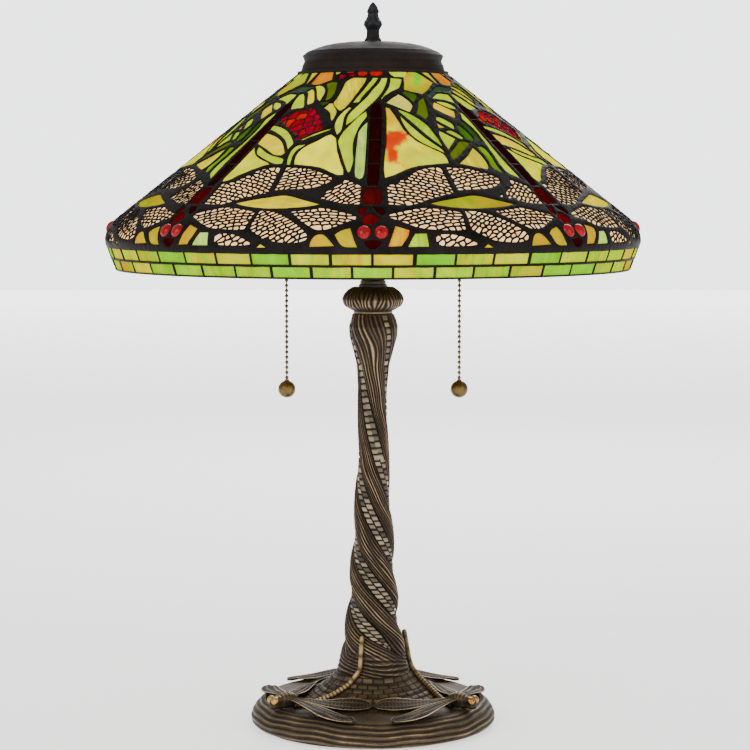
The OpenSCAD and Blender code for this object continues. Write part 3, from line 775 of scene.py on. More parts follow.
GOLD, AMBER, ORANGE, FIRE = linear("e6b93a"), linear("d9962a"), linear("e8701f"), linear("d8401c")
YELLOW, BRIGHT, LIME, GRASS = linear("f6ea48"), linear("fbf25e"), linear("c3d655"), linear("8fb84a")
PALE, PALEST, MINT, SAGE = linear("cfe089"), linear("e2eaae"), linear("a9cf9a"), linear("9fb584")
MUSTARD, TAN, PEACH, CREAM = linear("b9a83a"), linear("cdb464"), linear("efd9a8"), linear("f0e6b4")
OLIVE, MOSS, FOREST, SLATE = linear("6b7428"), linear("4d6b2a"), linear("3f5526"), linear("44533f")
RED, CRIMSON, MAROON, WINE = linear("cf3a2c"), linear("b3202a"), linear("7d1a30"), linear("531613")
BARK, TWIG, VEINED, BLUSH = linear("2b1b1a"), linear("39443f"), linear("f6dcbe"), linear("ecc4a4")
BLOOM_TINTS = ((RED, CRIMSON), (CRIMSON, MAROON), (CRIMSON, WINE), (MAROON, CRIMSON))
BRICK_TINTS = [linear(c) for c in ("b4c04a", "92c457", "d9b962", "a9cc7c", "cd9a60", "c3cb5c", "97c163",
                                   "d3c468", "a6cb50", "7eb950", "b7c552", "86b65c")]


def swirl_shade(az: np.ndarray, s: np.ndarray) -> np.ndarray:
    """Colours the big swirled pane: gold at the top, then yellow, with a fiery streak on the left."""
    stir = 0.22 * np.sin(0.9 * az + 0.21 * s) + 0.2 * np.sin(0.37 * s - 1.1 * az)
    blots = ((7.0, 93, 3.4, 9), (10.2, 88, 3.4, 3.6), (5.4, 112, 1.7, 14), (4.6, 99, 2.2, 9))
    far = np.min([((az - x) / w) ** 2 + ((s - y) / h) ** 2 for x, y, w, h in blots], axis=0) + stir
    vein = np.abs(az - 5.6 - 0.3 * (s - 122) - 0.5 * np.sin(0.5 * s)) / 0.55 + 4 * (s < 118)
    heat = np.clip(2.2 * (1.15 - far), 0, 1)
    heat = np.maximum(heat, 0.5 * np.clip(1.4 - vein, 0, 1))[:, None]
    top = np.clip((88 - s) / 16 + stir, 0, 1)[:, None]
    green = np.clip((s - 104) / 16 + stir, 0, 1)[:, None] * np.clip((az - 9) / 4 + stir, 0, 1)[:, None]
    base = np.array(YELLOW) * (1 - top) + np.array(GOLD) * top
    base = base * (1 - 0.7 * green) + np.array(LIME) * 0.7 * green
    warm = np.array(ORANGE) * (1 - heat) + np.array(FIRE) * heat
    share = np.clip(1.5 * heat, 0, 1)
    return base * (1 - share) + warm * share


def mixed_shade(az: np.ndarray, s: np.ndarray) -> np.ndarray:
    """Colours the swirled pane under the collar: tan, mint and mustard."""
    wave = 0.5 + 0.5 * np.sin(0.42 * az + 0.16 * s)[:, None]
    low = np.clip((s - 16) / 12, 0, 1)[:, None]
    base = np.array(TAN) * (1 - wave) + np.array(MINT) * wave
    return base * (1 - low) + np.array(MUSTARD) * low


@dataclass
class Pattern:
    """The repeating picture in the shade: one flower sector, one leaf sector, one dragonfly.

    A sector's azimuths run from the dragonfly on its right (flowers) or on its left (leaves).
    """

    flower_stretch: float = 1.02
    leaf_stretch: float = 1.045

    def flower_sector(self) -> list[Pane]:
        """Gives the panes between two dragonflies' tails, with the red flower."""
        f, leaf, bloom = Glass.FIELD, Glass.LEAF, Glass.FLOWER
        return [
            Pane(f, [(-41.5, 0), (-30, 0), (-26.8, 13), (-30, 16), (-33.5, 19), (-37, 19.5), (-41, 18)],
                 (AMBER, ORANGE)),
            Pane(leaf, [(-28.5, 0), (-22.5, 0), (-24, 4.5), (-26, 6)], (SAGE, PALE)),
            Pane(f, [(-42.2, 33), (-40.5, 31.5), (-38.5, 34), (-36, 40), (-33.5, 48), (-33, 51.5),
                     (-37, 52.5), (-39, 53.5), (-40.5, 49), (-42, 40)], (LIME, PALE)),
            Pane(leaf, [(-38.3, 29), (-36.5, 25.5), (-34.5, 27.5), (-32, 33.5), (-30, 40), (-29.2, 44.5),
                        (-31.5, 47.5), (-33, 44), (-35, 37), (-36.5, 32)], (CREAM, YELLOW)),
            Pane(leaf, [(-35.7, 21.5), (-33, 20.5), (-29.5, 23), (-27, 28), (-26.2, 34), (-26.3, 42.5),
                        (-28, 40), (-30, 35), (-32, 29), (-34, 24.5)], (LIME, YELLOW)),
            Pane(leaf, [(-29, 18.5), (-26, 16), (-22, 16.5), (-21, 25), (-20.5, 33), (-21.5, 40),
                        (-23.5, 42), (-24.5, 33), (-26, 26)], (OLIVE, MOSS)),
            Pane(leaf, [(-25.5, 44), (-23, 43.5), (-21.3, 42), (-21.5, 46), (-23, 49), (-25, 47)],
                 (SLATE, FOREST)),
            Pane(f, [(-15.5, 14), (-13, 10.5), (-4, 10.5), (-5, 18), (-8, 31), (-10.5, 44), (-12.5, 53),
                     (-14, 56.5), (-15.5, 54), (-18.5, 46), (-17.8, 38), (-17, 25), (-16.8, 17)],
                 (MUSTARD, YELLOW), 12),
            Pane(leaf, [(0, 10.5), (3.4, 10.5), (1.5, 17), (-2, 27), (-5, 36), (-6.5, 45), (-9.3, 46),
                        (-8, 38.5), (-6, 31), (-3, 20), (-0.5, 13)], (PALE, LIME), 20),
            Pane(leaf, [(5.5, 11), (4, 17), (0, 27), (-2.5, 36), (-5.5, 45), (-7, 50), (-9, 57), (-10.2, 65),
                        (-10, 76), (-8, 71), (-5, 61), (-2, 51), (1.5, 41), (5, 30), (7.5, 20), (9.4, 10.5)],
                 (PALE, PALEST), 22),
            Pane(leaf, [(11.5, 10.5), (18.7, 12), (16, 21), (14.5, 25), (10, 30), (6, 36), (4, 41.5),
                        (4.2, 39), (7, 30), (9.5, 22)], (PALE, PALEST), 30),
            Pane(leaf, [(-20.5, 46), (-19, 46), (-17, 52), (-15.5, 58), (-15.5, 64), (-16, 70), (-17, 66),
                        (-18, 60), (-20, 55), (-22.1, 52.5)], (CREAM, LIME)),
            Pane(leaf, [(-10.6, 51.5), (-9.3, 52), (-10.6, 58), (-11.5, 65), (-11.3, 75), (-11.3, 83),
                        (-12.2, 89), (-13.2, 84), (-14.3, 75), (-14, 65), (-12.5, 57)], (PALE, CREAM), 6),
            Pane(leaf, [(-2.9, 57), (-2.5, 64), (-4, 72), (-5.2, 80), (-6, 90), (-6.3, 100), (-6, 112),
                        (-5.5, 123), (-6, 137), (-6.5, 138), (-8, 125), (-9.5, 112), (-11, 100), (-11.2, 94),
                        (-10.4, 85), (-8.6, 76), (-6, 65)], (PALE, LIME)),
            Pane(leaf, [(-2.1, 72), (-2.1, 100), (-2.3, 140), (-3.3, 146.5), (-4.4, 143), (-4.8, 130),
                        (-5, 112), (-5, 95), (-4.9, 85), (-3.6, 77)], (PALEST, MINT)),
            Pane(leaf, [(-15, 80), (-15.5, 82.5), (-18, 86.5), (-21, 91), (-23.8, 96), (-24.3, 94.5),
                        (-22.5, 91), (-20, 86), (-17, 82.2)], (PALE, LIME), 40),
            Pane(leaf, [(-41, 75), (-37, 77.5), (-33, 82), (-30, 88), (-28, 94), (-26.5, 100), (-27, 108),
                        (-28, 104), (-29.5, 98), (-31.5, 93), (-34, 88.5), (-37, 84.5), (-40, 81.5),
                        (-41, 79)], (PALE, PALEST), -35),
            Pane(f, [(-40.8, 86), (-38, 88), (-35, 91), (-32.5, 95), (-30.5, 100), (-28.8, 106), (-27.3, 113),
                     (-28, 116), (-30.5, 115), (-33, 111), (-36, 106), (-39, 102), (-40.7, 100), (-41, 93)],
                 (YELLOW, GOLD), -25),
            Pane(leaf, [(-39, 104), (-37, 107), (-34, 112), (-31, 116), (-28, 118.5), (-26.5, 121),
                        (-26, 126.5), (-28, 127), (-31, 123.5), (-34, 119), (-37, 114), (-38.5, 109)],
                 (PALE, PALEST), -30),
            Pane(f, [(-40.8, 104), (-39.5, 109), (-37, 116), (-34, 121), (-31, 125), (-30, 127.5),
                     (-32.5, 131), (-35, 136), (-37.5, 142), (-39, 147), (-41, 150), (-41.8, 146),
                     (-41.3, 130), (-41, 115)], (YELLOW, LIME), -20),
            Pane(leaf, [(-22, 101.5), (-24.5, 103), (-25.5, 108), (-25.5, 115), (-25, 122), (-24.3, 128),
                        (-23.4, 128), (-23.8, 122), (-24.1, 115), (-23.8, 109), (-22.6, 104.5),
                        (-21.8, 102)], (PALE, LIME)),
            Pane(f, [(-14.5, 88), (-12.5, 93), (-11.7, 100), (-10.8, 110), (-9.8, 118), (-8.9, 126),
                     (-7.9, 134), (-7.6, 141), (-9, 141.5), (-11, 138), (-13.5, 133), (-16, 130.5),
                     (-19, 129), (-22, 128), (-22.7, 122), (-23, 115), (-22.4, 108), (-20.8, 102),
                     (-18.5, 97), (-16.5, 91.5)], (BRIGHT, YELLOW), 8),
            Pane(bloom, [(-23.5, 6), (-21, 5.5), (-18.5, 6), (-19, 11), (-22, 12.5)], (MAROON, CRIMSON)),
            Pane(bloom, [(-20, 0), (-12.5, 0), (-14, 3.6), (-18.5, 3.8)], (RED, CRIMSON)),
            Pane(bloom, [(-16.8, 5.2), (-11.5, 5), (-12.5, 8.8), (-16, 8.6)], (MAROON, CRIMSON)),
            Pane(bloom, [(-10.3, 0), (-4.2, 0), (-3.8, 5), (-5.5, 8.3), (-9, 8.3), (-10.6, 4.5)],
                 (RED, CRIMSON)),
            Pane(bloom, [(-2.3, 0), (6.3, 0), (7, 4), (4.5, 8), (-0.5, 8), (-2.2, 5)], (CRIMSON, RED)),
            Pane(leaf, [(29, 34.5), (33, 29.5), (37, 25), (41, 21.5), (44.5, 21.5), (48, 22), (52, 21),
                        (51.5, 23.5), (49.5, 26), (46.5, 28.5), (42, 29), (38, 28.5), (34, 31.5),
                        (30.5, 36)], (TWIG, SLATE), 60),
        ]

    def leaf_sector(self) -> list[Pane]:
        """Gives the panes between two dragonflies' tails, with the big leaves."""
        f, leaf = Glass.FIELD, Glass.LEAF
        return [
            Pane(f, [(36, 0), (43.2, 0), (42.8, 17.5), (41.8, 17), (39.5, 9), (36, 1)], (TAN, YELLOW)),
            Pane(Glass.SWIRL, [(20.5, 9), (26.5, 0.5), (33, 3), (39.3, 16), (35.5, 20.5), (30.5, 27.5),
                               (26, 33), (20, 29.5), (16.8, 27.5), (18, 21)], (TAN, MINT), 35, mixed_shade),
            Pane(leaf, [(11, 0), (26, 0), (22.5, 6), (20.2, 10), (14, 9), (11.5, 5)], (PALE, PALEST), 50),
            Pane(Glass.SWIRL, [(5.5, 51.5), (7, 53), (8.5, 62), (9.8, 72), (10.8, 82), (12.5, 90), (14, 97),
                               (16.5, 103), (19, 109), (20.8, 114), (21.2, 120), (21, 126), (17, 127.5),
                               (13, 129.3), (10, 132.2), (7.5, 136.7), (5.5, 141), (3, 145), (2.9, 135),
                               (3.2, 122), (3.7, 110), (4.3, 98), (4.7, 85), (5.2, 70), (5.4, 60)],
                 (YELLOW, GOLD), 0, swirl_shade),
            Pane(leaf, [(10.9, 63), (11.5, 66), (13.5, 75), (15.5, 84), (17.5, 93), (19.5, 101), (21, 107),
                        (21.5, 113), (19.7, 109), (17.2, 103.5), (14.8, 97), (12.7, 88), (11.6, 78),
                        (10.9, 69)], (PALE, PALEST), -15),
            Pane(leaf, [(10.6, 54.5), (13.5, 58), (16, 62.5), (18.5, 69), (20.3, 77), (21, 85), (21.7, 95),
                        (21.8, 105), (20.7, 100), (18.7, 91), (16.7, 81), (14.7, 72), (12.7, 64),
                        (11, 58)], (PALE, GRASS), -15),
            Pane(leaf, [(6, 45.5), (9, 39.5), (13, 33.5), (15, 37.5), (17, 43.5), (17.7, 49), (16.5, 54),
                        (15.2, 58.3), (12.5, 54.5), (9.5, 50)], (PALEST, PEACH), 40),
            Pane(leaf, [(15, 31), (17, 28.8), (20, 30.7), (22.5, 34), (22, 37), (20.5, 41), (19.3, 44.5),
                        (18, 40), (16.3, 35.5)], (FOREST, MOSS)),
            Pane(leaf, [(22.5, 41.5), (25.5, 37.5), (25, 43), (24.3, 50), (23.5, 57), (22.5, 63),
                        (20.8, 67.5), (19.5, 64), (17.8, 60.5), (19, 55.5), (20.3, 50), (21, 45.5)],
                 (OLIVE, MOSS)),
            Pane(leaf, [(30.3, 38.5), (33, 34.5), (36.5, 31.5), (40.3, 32), (42.6, 32.5), (42.6, 36.5),
                        (42.3, 41), (41.8, 45.5), (39.5, 42.5), (36, 40), (33, 39.3)], (PALE, PALEST), 50),
            Pane(leaf, [(30.8, 42.8), (34, 43), (37, 44.8), (39, 48), (39.6, 52), (38, 53), (35, 50.5),
                        (32.5, 46.8)], (PALE, CREAM), 60),
            Pane(f, [(27.5, 50), (29, 45.5), (29.8, 44), (32, 47.5), (34.5, 52), (36.9, 56), (36, 60),
                     (34.5, 65.5), (31.5, 61), (29, 56), (27.3, 52.5)], (PEACH, CREAM), 60),
            Pane(leaf, [(26, 64), (27.5, 65), (29.5, 69), (31, 73.5), (30.6, 79), (30, 81), (28.5, 77),
                        (26.5, 72.5), (25, 68.5)], (PALE, LIME)),
            Pane(f, [(24.5, 72.5), (25.6, 75.3), (27, 79), (24.1, 79.3)], (TAN, PEACH)),
            Pane(leaf, [(26, 83.5), (28.3, 82.2), (30, 86), (31.4, 92), (30.5, 94), (29, 92), (27.5, 88)],
                 (LIME, GRASS)),
            Pane(leaf, [(23.8, 83), (25.8, 88), (28, 93.5), (26.5, 98), (24.8, 103), (23.3, 108),
                        (22.9, 98), (22.9, 88)], (PALE, LIME)),
            Pane(leaf, [(28.7, 97.4), (30.5, 97), (32.4, 99.2), (30, 105), (27.5, 111), (25, 117.5),
                        (23, 121.5), (22.9, 114), (25, 107.5), (27, 102)], (OLIVE, MOSS)),
            Pane(leaf, [(33, 74), (34, 77), (35, 84), (35.3, 92), (34.5, 97), (33.2, 95), (32, 89),
                        (32.2, 81)], (linear("4c7a35"), MOSS)),
            Pane(leaf, [(36, 68), (37.3, 72), (38.1, 80), (38.3, 90), (37.6, 98), (36.7, 96), (36.4, 86),
                        (35.8, 76)], (SLATE, FOREST)),
            Pane(f, [(32.3, 105.5), (33, 113), (33.2, 122), (32.7, 130), (31.7, 134), (29, 131.5),
                     (26, 128.5), (24.2, 126.5), (26, 122), (28.5, 116), (30.5, 110)], (TAN, YELLOW), 8),
            Pane(leaf, [(34, 104), (36, 103.5), (36.8, 108), (36.6, 118), (36, 128), (36.1, 138),
                        (35, 136.5), (33.8, 131), (34.4, 121), (34.5, 112)], (linear("6e9a3c"), GRASS)),
            Pane(leaf, [(40, 57), (40.8, 60), (40.9, 75), (40.6, 90), (40.3, 105), (40.1, 120),
                        (40.2, 135), (40.4, 146), (39.2, 143), (37.7, 138), (37.4, 128), (37.9, 118),
                        (38.4, 108), (38.9, 100), (39.2, 90), (39.2, 80), (38.5, 72), (38, 66)],
                 (PALE, LIME)),
        ]

    @staticmethod
    def bloom() -> list[Point]:
        """Gives the outline of the red flower, which is cut from small shards."""
        return [(-33.4, 51.5), (-31.3, 47.8), (-29, 46), (-27, 46.5), (-25.3, 50), (-24, 54.5), (-22.6, 55.5),
                (-20.8, 58), (-20, 64), (-18.4, 66.5), (-17.4, 70), (-17.8, 74), (-16.4, 78), (-19, 82),
                (-21, 86), (-23.6, 91.3), (-25.6, 96), (-27.7, 92), (-30.2, 86), (-33, 80), (-37.8, 74.5),
                (-40.2, 66), (-40, 60.5), (-38, 56.5), (-35.2, 55.5)]

    @staticmethod
    def wings() -> list[tuple[Glass, Sequence[Point], Sequence[Point], float]]:
        """Gives each wing part as its glass, upper curve, lower curve and tilt in degrees."""
        up, low = Glass.UPPER_WING, Glass.LOWER_WING
        return [
            (up, [(3.4, 152), (7, 147), (9.5, 141), (12, 135.5), (15, 132), (18, 131), (19, 133)],
             [(3.4, 178.5), (7, 179.5), (9, 179), (11.5, 175), (14.5, 170), (17.5, 166.5), (19.5, 165)], 18),
            (up, [(20.5, 130.8), (24, 131.5), (28, 133.5), (31, 137.5), (33.8, 142), (34.6, 146)],
             [(20.8, 161.5), (24, 160), (27, 159.3), (30, 158), (32.5, 154.5), (34.4, 149.5)], -8),
            (up, [(42.2, 155), (39.5, 149), (38, 147), (36.5, 150), (35, 155), (34, 160), (32, 164),
                  (29, 168)],
             [(42.2, 178.5), (38.5, 177.5), (35, 173.5), (32, 170.5), (29, 168.8)], -32),
            (low, [(3.4, 189.5), (7, 185.5), (9.5, 183), (12, 182.3), (15, 184), (18, 186.5), (19.2, 188)],
             [(3.4, 194.5), (6.5, 201), (8.5, 205), (11, 207.5), (14, 208.5), (17, 208.8), (18.7, 208)], -6),
            (low, [(20, 186), (22.5, 186.5), (25, 190), (27.5, 196), (29.5, 202), (31.5, 209),
                   (32.3, 214)],
             [(19.8, 206), (20.5, 210), (22, 214), (24, 217.5), (27, 219.3), (30, 219.5), (32, 217.5)], -22),
            (low, [(41.6, 191), (38.5, 187), (36, 183.8), (33.5, 182.3), (30.5, 184.3), (27, 186)],
             [(41.6, 196.5), (38.5, 203), (36.5, 207), (34, 208.3), (32, 204), (30, 198), (28.3, 191.5),
              (27, 187)], 4),
            (low, [(12.2, 214.5), (13.5, 211.8), (16.5, 212.5), (19, 216), (20.7, 219.5)],
             [(12.3, 219), (13.5, 221.8), (16, 222.2), (18.5, 222.2), (20.5, 221.3)], -14),
        ]

    @staticmethod
    def belt(golden: bool) -> list[Pane]:
        """Gives the single panes among the wings of one sector."""
        lens = (YELLOW, GOLD) if golden else (GRASS, AMBER)
        side = Glass.SIDE
        return [
            Pane(Glass.LENS, [(12.5, 177.5), (16, 173.5), (20, 170), (23.5, 167.3), (26, 168.5), (29, 172.5),
                              (33.4, 178.3), (31, 181), (27, 183), (22.5, 184), (18, 182.5), (15, 180.3)],
                 lens, 90),
            Pane(side, [(22, 223.2), (22.8, 220.6), (24, 223.2)], (AMBER, YELLOW)),
            Pane(side, [(4.5, 204), (7.2, 208), (6.8, 214), (5.5, 221.5), (3, 222), (3.8, 213)],
                 (TAN, AMBER) if golden else (TAN, ORANGE)),
            Pane(side, [(8.3, 211.5), (10.5, 211.3), (10.8, 222), (6.8, 222.2), (7.6, 216)],
                 (PALEST, MINT) if golden else (GRASS, LIME)),
            Pane(side, [(33.9, 213), (35.5, 212.7), (37.6, 221.5), (32.8, 222.3), (33, 218)],
                 (MUSTARD, AMBER)),
            Pane(side, [(37.6, 212.5), (38.8, 208.5), (40.5, 206), (40.9, 210.5), (41.4, 217),
                        (42, 222.5), (39.2, 221.5)], (MUSTARD, TAN)),
        ]

    @staticmethod
    def tail() -> list[Pane]:
        """Gives the segments of one dragonfly's tail."""
        ends = (45, 67, 96, 127, 156)
        panes = []
        for s0, s1 in zip(ends, ends[1:]):
            marks = np.linspace(s0 + 0.5, s1 - 0.5, 4)
            half = np.interp(marks, (45, 50, 60, 100, 150, 156), (2.5, 4.2, 4.8, 4.9, 4.6, 3.9))
            wide = np.radians(64 + 0.784 * marks)
            middle = 1.4 * (150 - marks) / 100
            left = [(float(m - h / w), float(s)) for m, h, w, s in zip(middle, half, wide, marks)]
            right = [(float(m + h / w), float(s)) for m, h, w, s in zip(middle, half, wide, marks)]
            panes.append(Pane(Glass.TAIL, left + right[::-1], (BARK, linear("3d2220"))))
        return panes

    @staticmethod
    def body() -> list[Pane]:
        """Gives the thorax, the shards under it and the mouth of one dragonfly."""
        b = Glass.BODY
        red, dark = (linear("6d1815"), WINE), (linear("2e0d0d"), WINE)
        return [
            Pane(b, [(-1.8, 158), (1.6, 158), (2.1, 165), (2.1, 173), (1.6, 179), (-1.8, 179),
                     (-2.5, 173), (-2.4, 165)], (WINE, linear("6d1b16"))),
            Pane(b, [(-2.9, 182), (-1.2, 182.5), (-1.5, 188), (-2.2, 193), (-3, 190)], red),
            Pane(b, [(-2.4, 196), (-1, 190), (0.2, 191), (1.3, 196), (0.5, 202.5), (-1.7, 202.8)],
                 (linear("8c1a1a"), WINE)),
            Pane(b, [(0, 182), (2.2, 182), (2.7, 188), (1.9, 193), (0.8, 188)], dark),
            Pane(b, [(-1.6, 217.8), (0, 216.6), (1.7, 217.8), (1.4, 221), (0.4, 224), (-0.4, 224),
                     (-1.3, 221)], dark),
        ]


# ---------------------------------------------------------------- the shade


@dataclass
class Loop:
    """One closed outline in the plane ring, with what fills it."""

    pane: Pane | None
    points: np.ndarray


@dataclass
class LeadedShade:
    """The leaded glass shade: panes, wing filigree, cabochons and the solder between them.

    Args:
        meridian: The outside of the shade.
        glass_t: Thickness of the glass.
        proud: How far the solder stands out from the glass.
        fillet: Distance over which the solder rises to its crest.
        flank: Distance from a pane to the points part of the way up that rise.
        tuck: How far a pane reaches under the solder.
        flies: Number of dragonflies.
        bricks: Bricks in one row of the skirt.
        mesh: Distance between points inside swirled panes, half that of other large panes.
        overlap: How far the solder runs up past the top of the cone.
        eye_az: Azimuth of an eye from the middle of its dragonfly.
        eye_s: Distance of the eyes down the shade.
        eye_size: Half the width, length and height of an eye.
        seed: Start of the random numbers.
        loops: Every outline, in the order they are added.
    """

    meridian: Meridian
    glass_t: float = 3.0
    proud: float = 0.9
    fillet: float = 1.35
    flank: float = 0.62
    tuck: float = 0.35
    flies: int = 8
    bricks: int = 44
    mesh: float = 2.6
    overlap: float = 2.2
    eye_az: float = 1.72
    eye_s: float = 210
    eye_size: tuple[float, float, float] = (5.7, 6.1, 4.4)
    seed: int = 7
    loops: list[Loop] = field(default_factory=list)

    def __post_init__(self) -> None:
        """Prepares the outliner and the random numbers."""
        self.outliner = Outliner(self.meridian)
        self.rng = random.Random(self.seed)
        self.sector = 360 / self.flies
        self.veins = Filigree()
        self.shards = Filigree(row=6.4, pitch=7.6, vein=0.9, edge=0.3)

    # -- outlines

    def add_pane(self, pane: Pane, turn: float, stretch: float = 1.0) -> None:
        """Adds one pane, turned round the axis and stretched in azimuth."""
        outline = self.outliner.closed([(a * stretch, s) for a, s in pane.outline])
        az, s = np.array(outline).T
        points = self.meridian.flat(az + turn, s)
        made = Pane(pane.glass, outline, pane.tints, pane.lean, pane.shade)
        self.loops.append(Loop(made, points))

    def add_wing(self, wing: tuple, turn: float) -> None:
        """Fills one wing part with cells."""
        glass, upper, lower, tilt = wing
        outline = self.outliner.strip(upper, lower)
        az, s = np.array(outline).T
        ring = [tuple(p) for p in self.meridian.flat(az + turn, s)]
        lean = math.radians(float(np.mean(az)) + turn - tilt)
        for cell in self.veins.cells(ring, lean, self.rng):
            warm = self.rng.random()
            tints = (VEINED, BLUSH) if warm < 0.8 else (linear("e6d7bb"), VEINED)
            self.loops.append(Loop(Pane(glass, [], tints), np.array(cell)))

    def add_bloom(self, outline: list[Point], turn: float, stretch: float) -> None:
        """Fills the red flower with shards."""
        az, s = np.array(self.outliner.closed([(a * stretch, b) for a, b in outline])).T
        ring = [tuple(p) for p in self.meridian.flat(az + turn, s)]
        lean = math.radians(float(np.mean(az)) + turn + 20)
        for cell in self.shards.cells(ring, lean, self.rng):
            tints = self.rng.choice(BLOOM_TINTS)
            self.loops.append(Loop(Pane(Glass.FLOWER, [], tints), np.array(cell)))

    def add_bricks(self) -> None:
        """Adds the two staggered rows of bricks above the rim."""
        step = 360 / self.bricks
        rim = self.meridian.length - 1.6
        rows = ((Glass.UPPER_BRICK, rim - 19.4, rim - 10.6, 0.0), (Glass.LOWER_BRICK, rim - 8.6, rim, 0.5))
        for glass, s0, s1, shift in rows:
            for i in range(self.bricks):
                a0 = (i + shift) * step + 0.28 + self.rng.uniform(-0.12, 0.12)
                a1 = (i + 1 + shift) * step - 0.28 + self.rng.uniform(-0.12, 0.12)
                across = np.linspace(a0, a1, 6)
                top = [(float(a), s0 + self.rng.uniform(-0.15, 0.15)) for a in across]
                foot = [(float(a), s1) for a in across[::-1]]
                side = [(a1, (s0 + s1) / 2)], [(a0, (s0 + s1) / 2)]
                outline = top + side[0] + foot + side[1]
                az, s = np.array(outline).T
                pane = Pane(glass, outline, tuple(self.rng.sample(BRICK_TINTS, 2)))
                self.loops.append(Loop(pane, self.meridian.flat(az, s)))

    def lay_out(self) -> None:
        """Adds every outline of the pattern."""
        pattern = Pattern()
        for i in range(self.flies):
            turn = i * self.sector
            golden = i % 2 == 1
            if golden:
                for pane in pattern.flower_sector():
                    self.add_pane(self.varied(pane), turn + self.sector, pattern.flower_stretch)
                self.add_bloom(pattern.bloom(), turn + self.sector, pattern.flower_stretch)
            else:
                for pane in pattern.leaf_sector():
                    self.add_pane(self.varied(pane), turn, pattern.leaf_stretch)
            for pane in pattern.belt(golden) + pattern.tail() + pattern.body():
                self.add_pane(self.varied(pane), turn)
            for wing in pattern.wings():
                self.add_wing(wing, turn)
            for side in (-1, 1):
                around = np.linspace(0, 2 * np.pi, 18, endpoint=False)
                wide = math.radians(float(self.meridian.radius(self.eye_s)))
                az = side * self.eye_az + turn + 0.82 * self.eye_size[0] * np.cos(around) / wide
                s = self.eye_s + 0.82 * self.eye_size[1] * np.sin(around)
                self.loops.append(Loop(None, self.meridian.flat(az, s)))
        self.add_bricks()

    def varied(self, pane: Pane) -> Pane:
        """Gives a copy of a pane whose tints are a little different, as cut sheets are."""
        gain = self.rng.uniform(0.92, 1.08)
        blend = self.rng.uniform(-0.12, 0.12)
        a, b = (np.array(t) for t in pane.tints)
        first = tuple(float(x) for x in np.clip((a + blend * (b - a)) * gain, 0, 1))
        second = tuple(float(x) for x in np.clip((b - blend * (b - a)) * gain, 0, 1))
        return Pane(pane.glass, pane.outline, (first, second), pane.lean, pane.shade)

    # -- one triangulation of the whole ring

    def near(self, points: np.ndarray) -> tuple[np.ndarray, np.ndarray, np.ndarray]:
        """Gives each point's distance from the nearest outline, whether it's inside, and which it is."""
        gaps, inner = np.zeros(len(points)), np.zeros(len(points), bool)
        nearest = np.zeros(len(points), int)
        for k, (x, y) in enumerate(points.tolist()):
            where, i, gap = self.tree.find((x, y, 0))
            gaps[k], nearest[k] = gap, self.spot_loop[i]
            out = self.outward[i]
            inner[k] = (x - where.x) * out[0] + (y - where.y) * out[1] < 0
        return gaps, inner, nearest

    def index_outlines(self) -> None:
        """Puts closely spaced points of every outline, and their outward directions, in a tree."""
        spots, outward, owners = [], [], []
        for number, loop in enumerate(self.loops):
            ring = loop.points
            if area([tuple(p) for p in ring]) < 0:
                loop.points = ring = ring[::-1]
            ahead = np.roll(ring, -1, 0)
            run = ahead - ring
            size = np.hypot(*run.T)[:, None]
            normal = np.stack([run[:, 1], -run[:, 0]], 1) / np.maximum(size, 1e-9)
            parts = max(1, int(np.ceil(size.max() / 0.9)))
            for k in range(parts):
                spots.append(ring + run * (k + 0.5) / parts)
                outward.append(normal)
                owners.append(np.full(len(ring), number))
        self.outward = np.concatenate(outward)
        self.spot_loop = np.concatenate(owners)
        spots = np.concatenate(spots)
        self.tree = kdtree.KDTree(len(spots))
        for i, (x, y) in enumerate(spots.tolist()):
            self.tree.insert((x, y, 0), i)
        self.tree.balance()
        self.spots = spots

    def crest_points(self) -> np.ndarray:
        """Gives points along the middle of the solder, and the grid inside large panes."""
        near_crest = self.spots + self.outward * self.flank
        far_crest = self.spots + self.outward * self.fillet
        ticks = np.arange(-self.outer_r, self.outer_r, self.mesh)
        x, y = (g.ravel() for g in np.meshgrid(ticks, ticks))
        jitter = np.random.default_rng(3).uniform(-0.6, 0.6, (len(x), 2))
        grid = np.stack([x, y], 1) + jitter
        coarse = (np.round(x / self.mesh) % 2 == 0) & (np.round(y / self.mesh) % 2 == 0)
        swirled = np.array([bool(loop.pane and loop.pane.shade) for loop in self.loops])
        kept = []
        taken: set[tuple[int, int, int]] = set()
        for points, low, inside_ok, cell in (
            (near_crest, 0.45, None, 0.95), (far_crest, 1.1, None, 1.5), (grid, 2.0, coarse, 1.9),
        ):
            ring = np.hypot(*points.T)
            ok = (ring > self.inner_r + 0.8) & (ring < self.outer_r - 0.8)
            points = points[ok]
            flags = None if inside_ok is None else inside_ok[ok]
            gaps, inner, nearest = self.near(points)
            good = (gaps > low) & ~inner
            if flags is not None:
                good |= (gaps > low) & inner & (flags | swirled[nearest])
            for px, py in points[good].tolist():
                key = (round(px / cell), round(py / cell), int(cell * 10))
                if key not in taken:
                    taken.add(key)
                    kept.append((px, py))
        return np.array(kept)

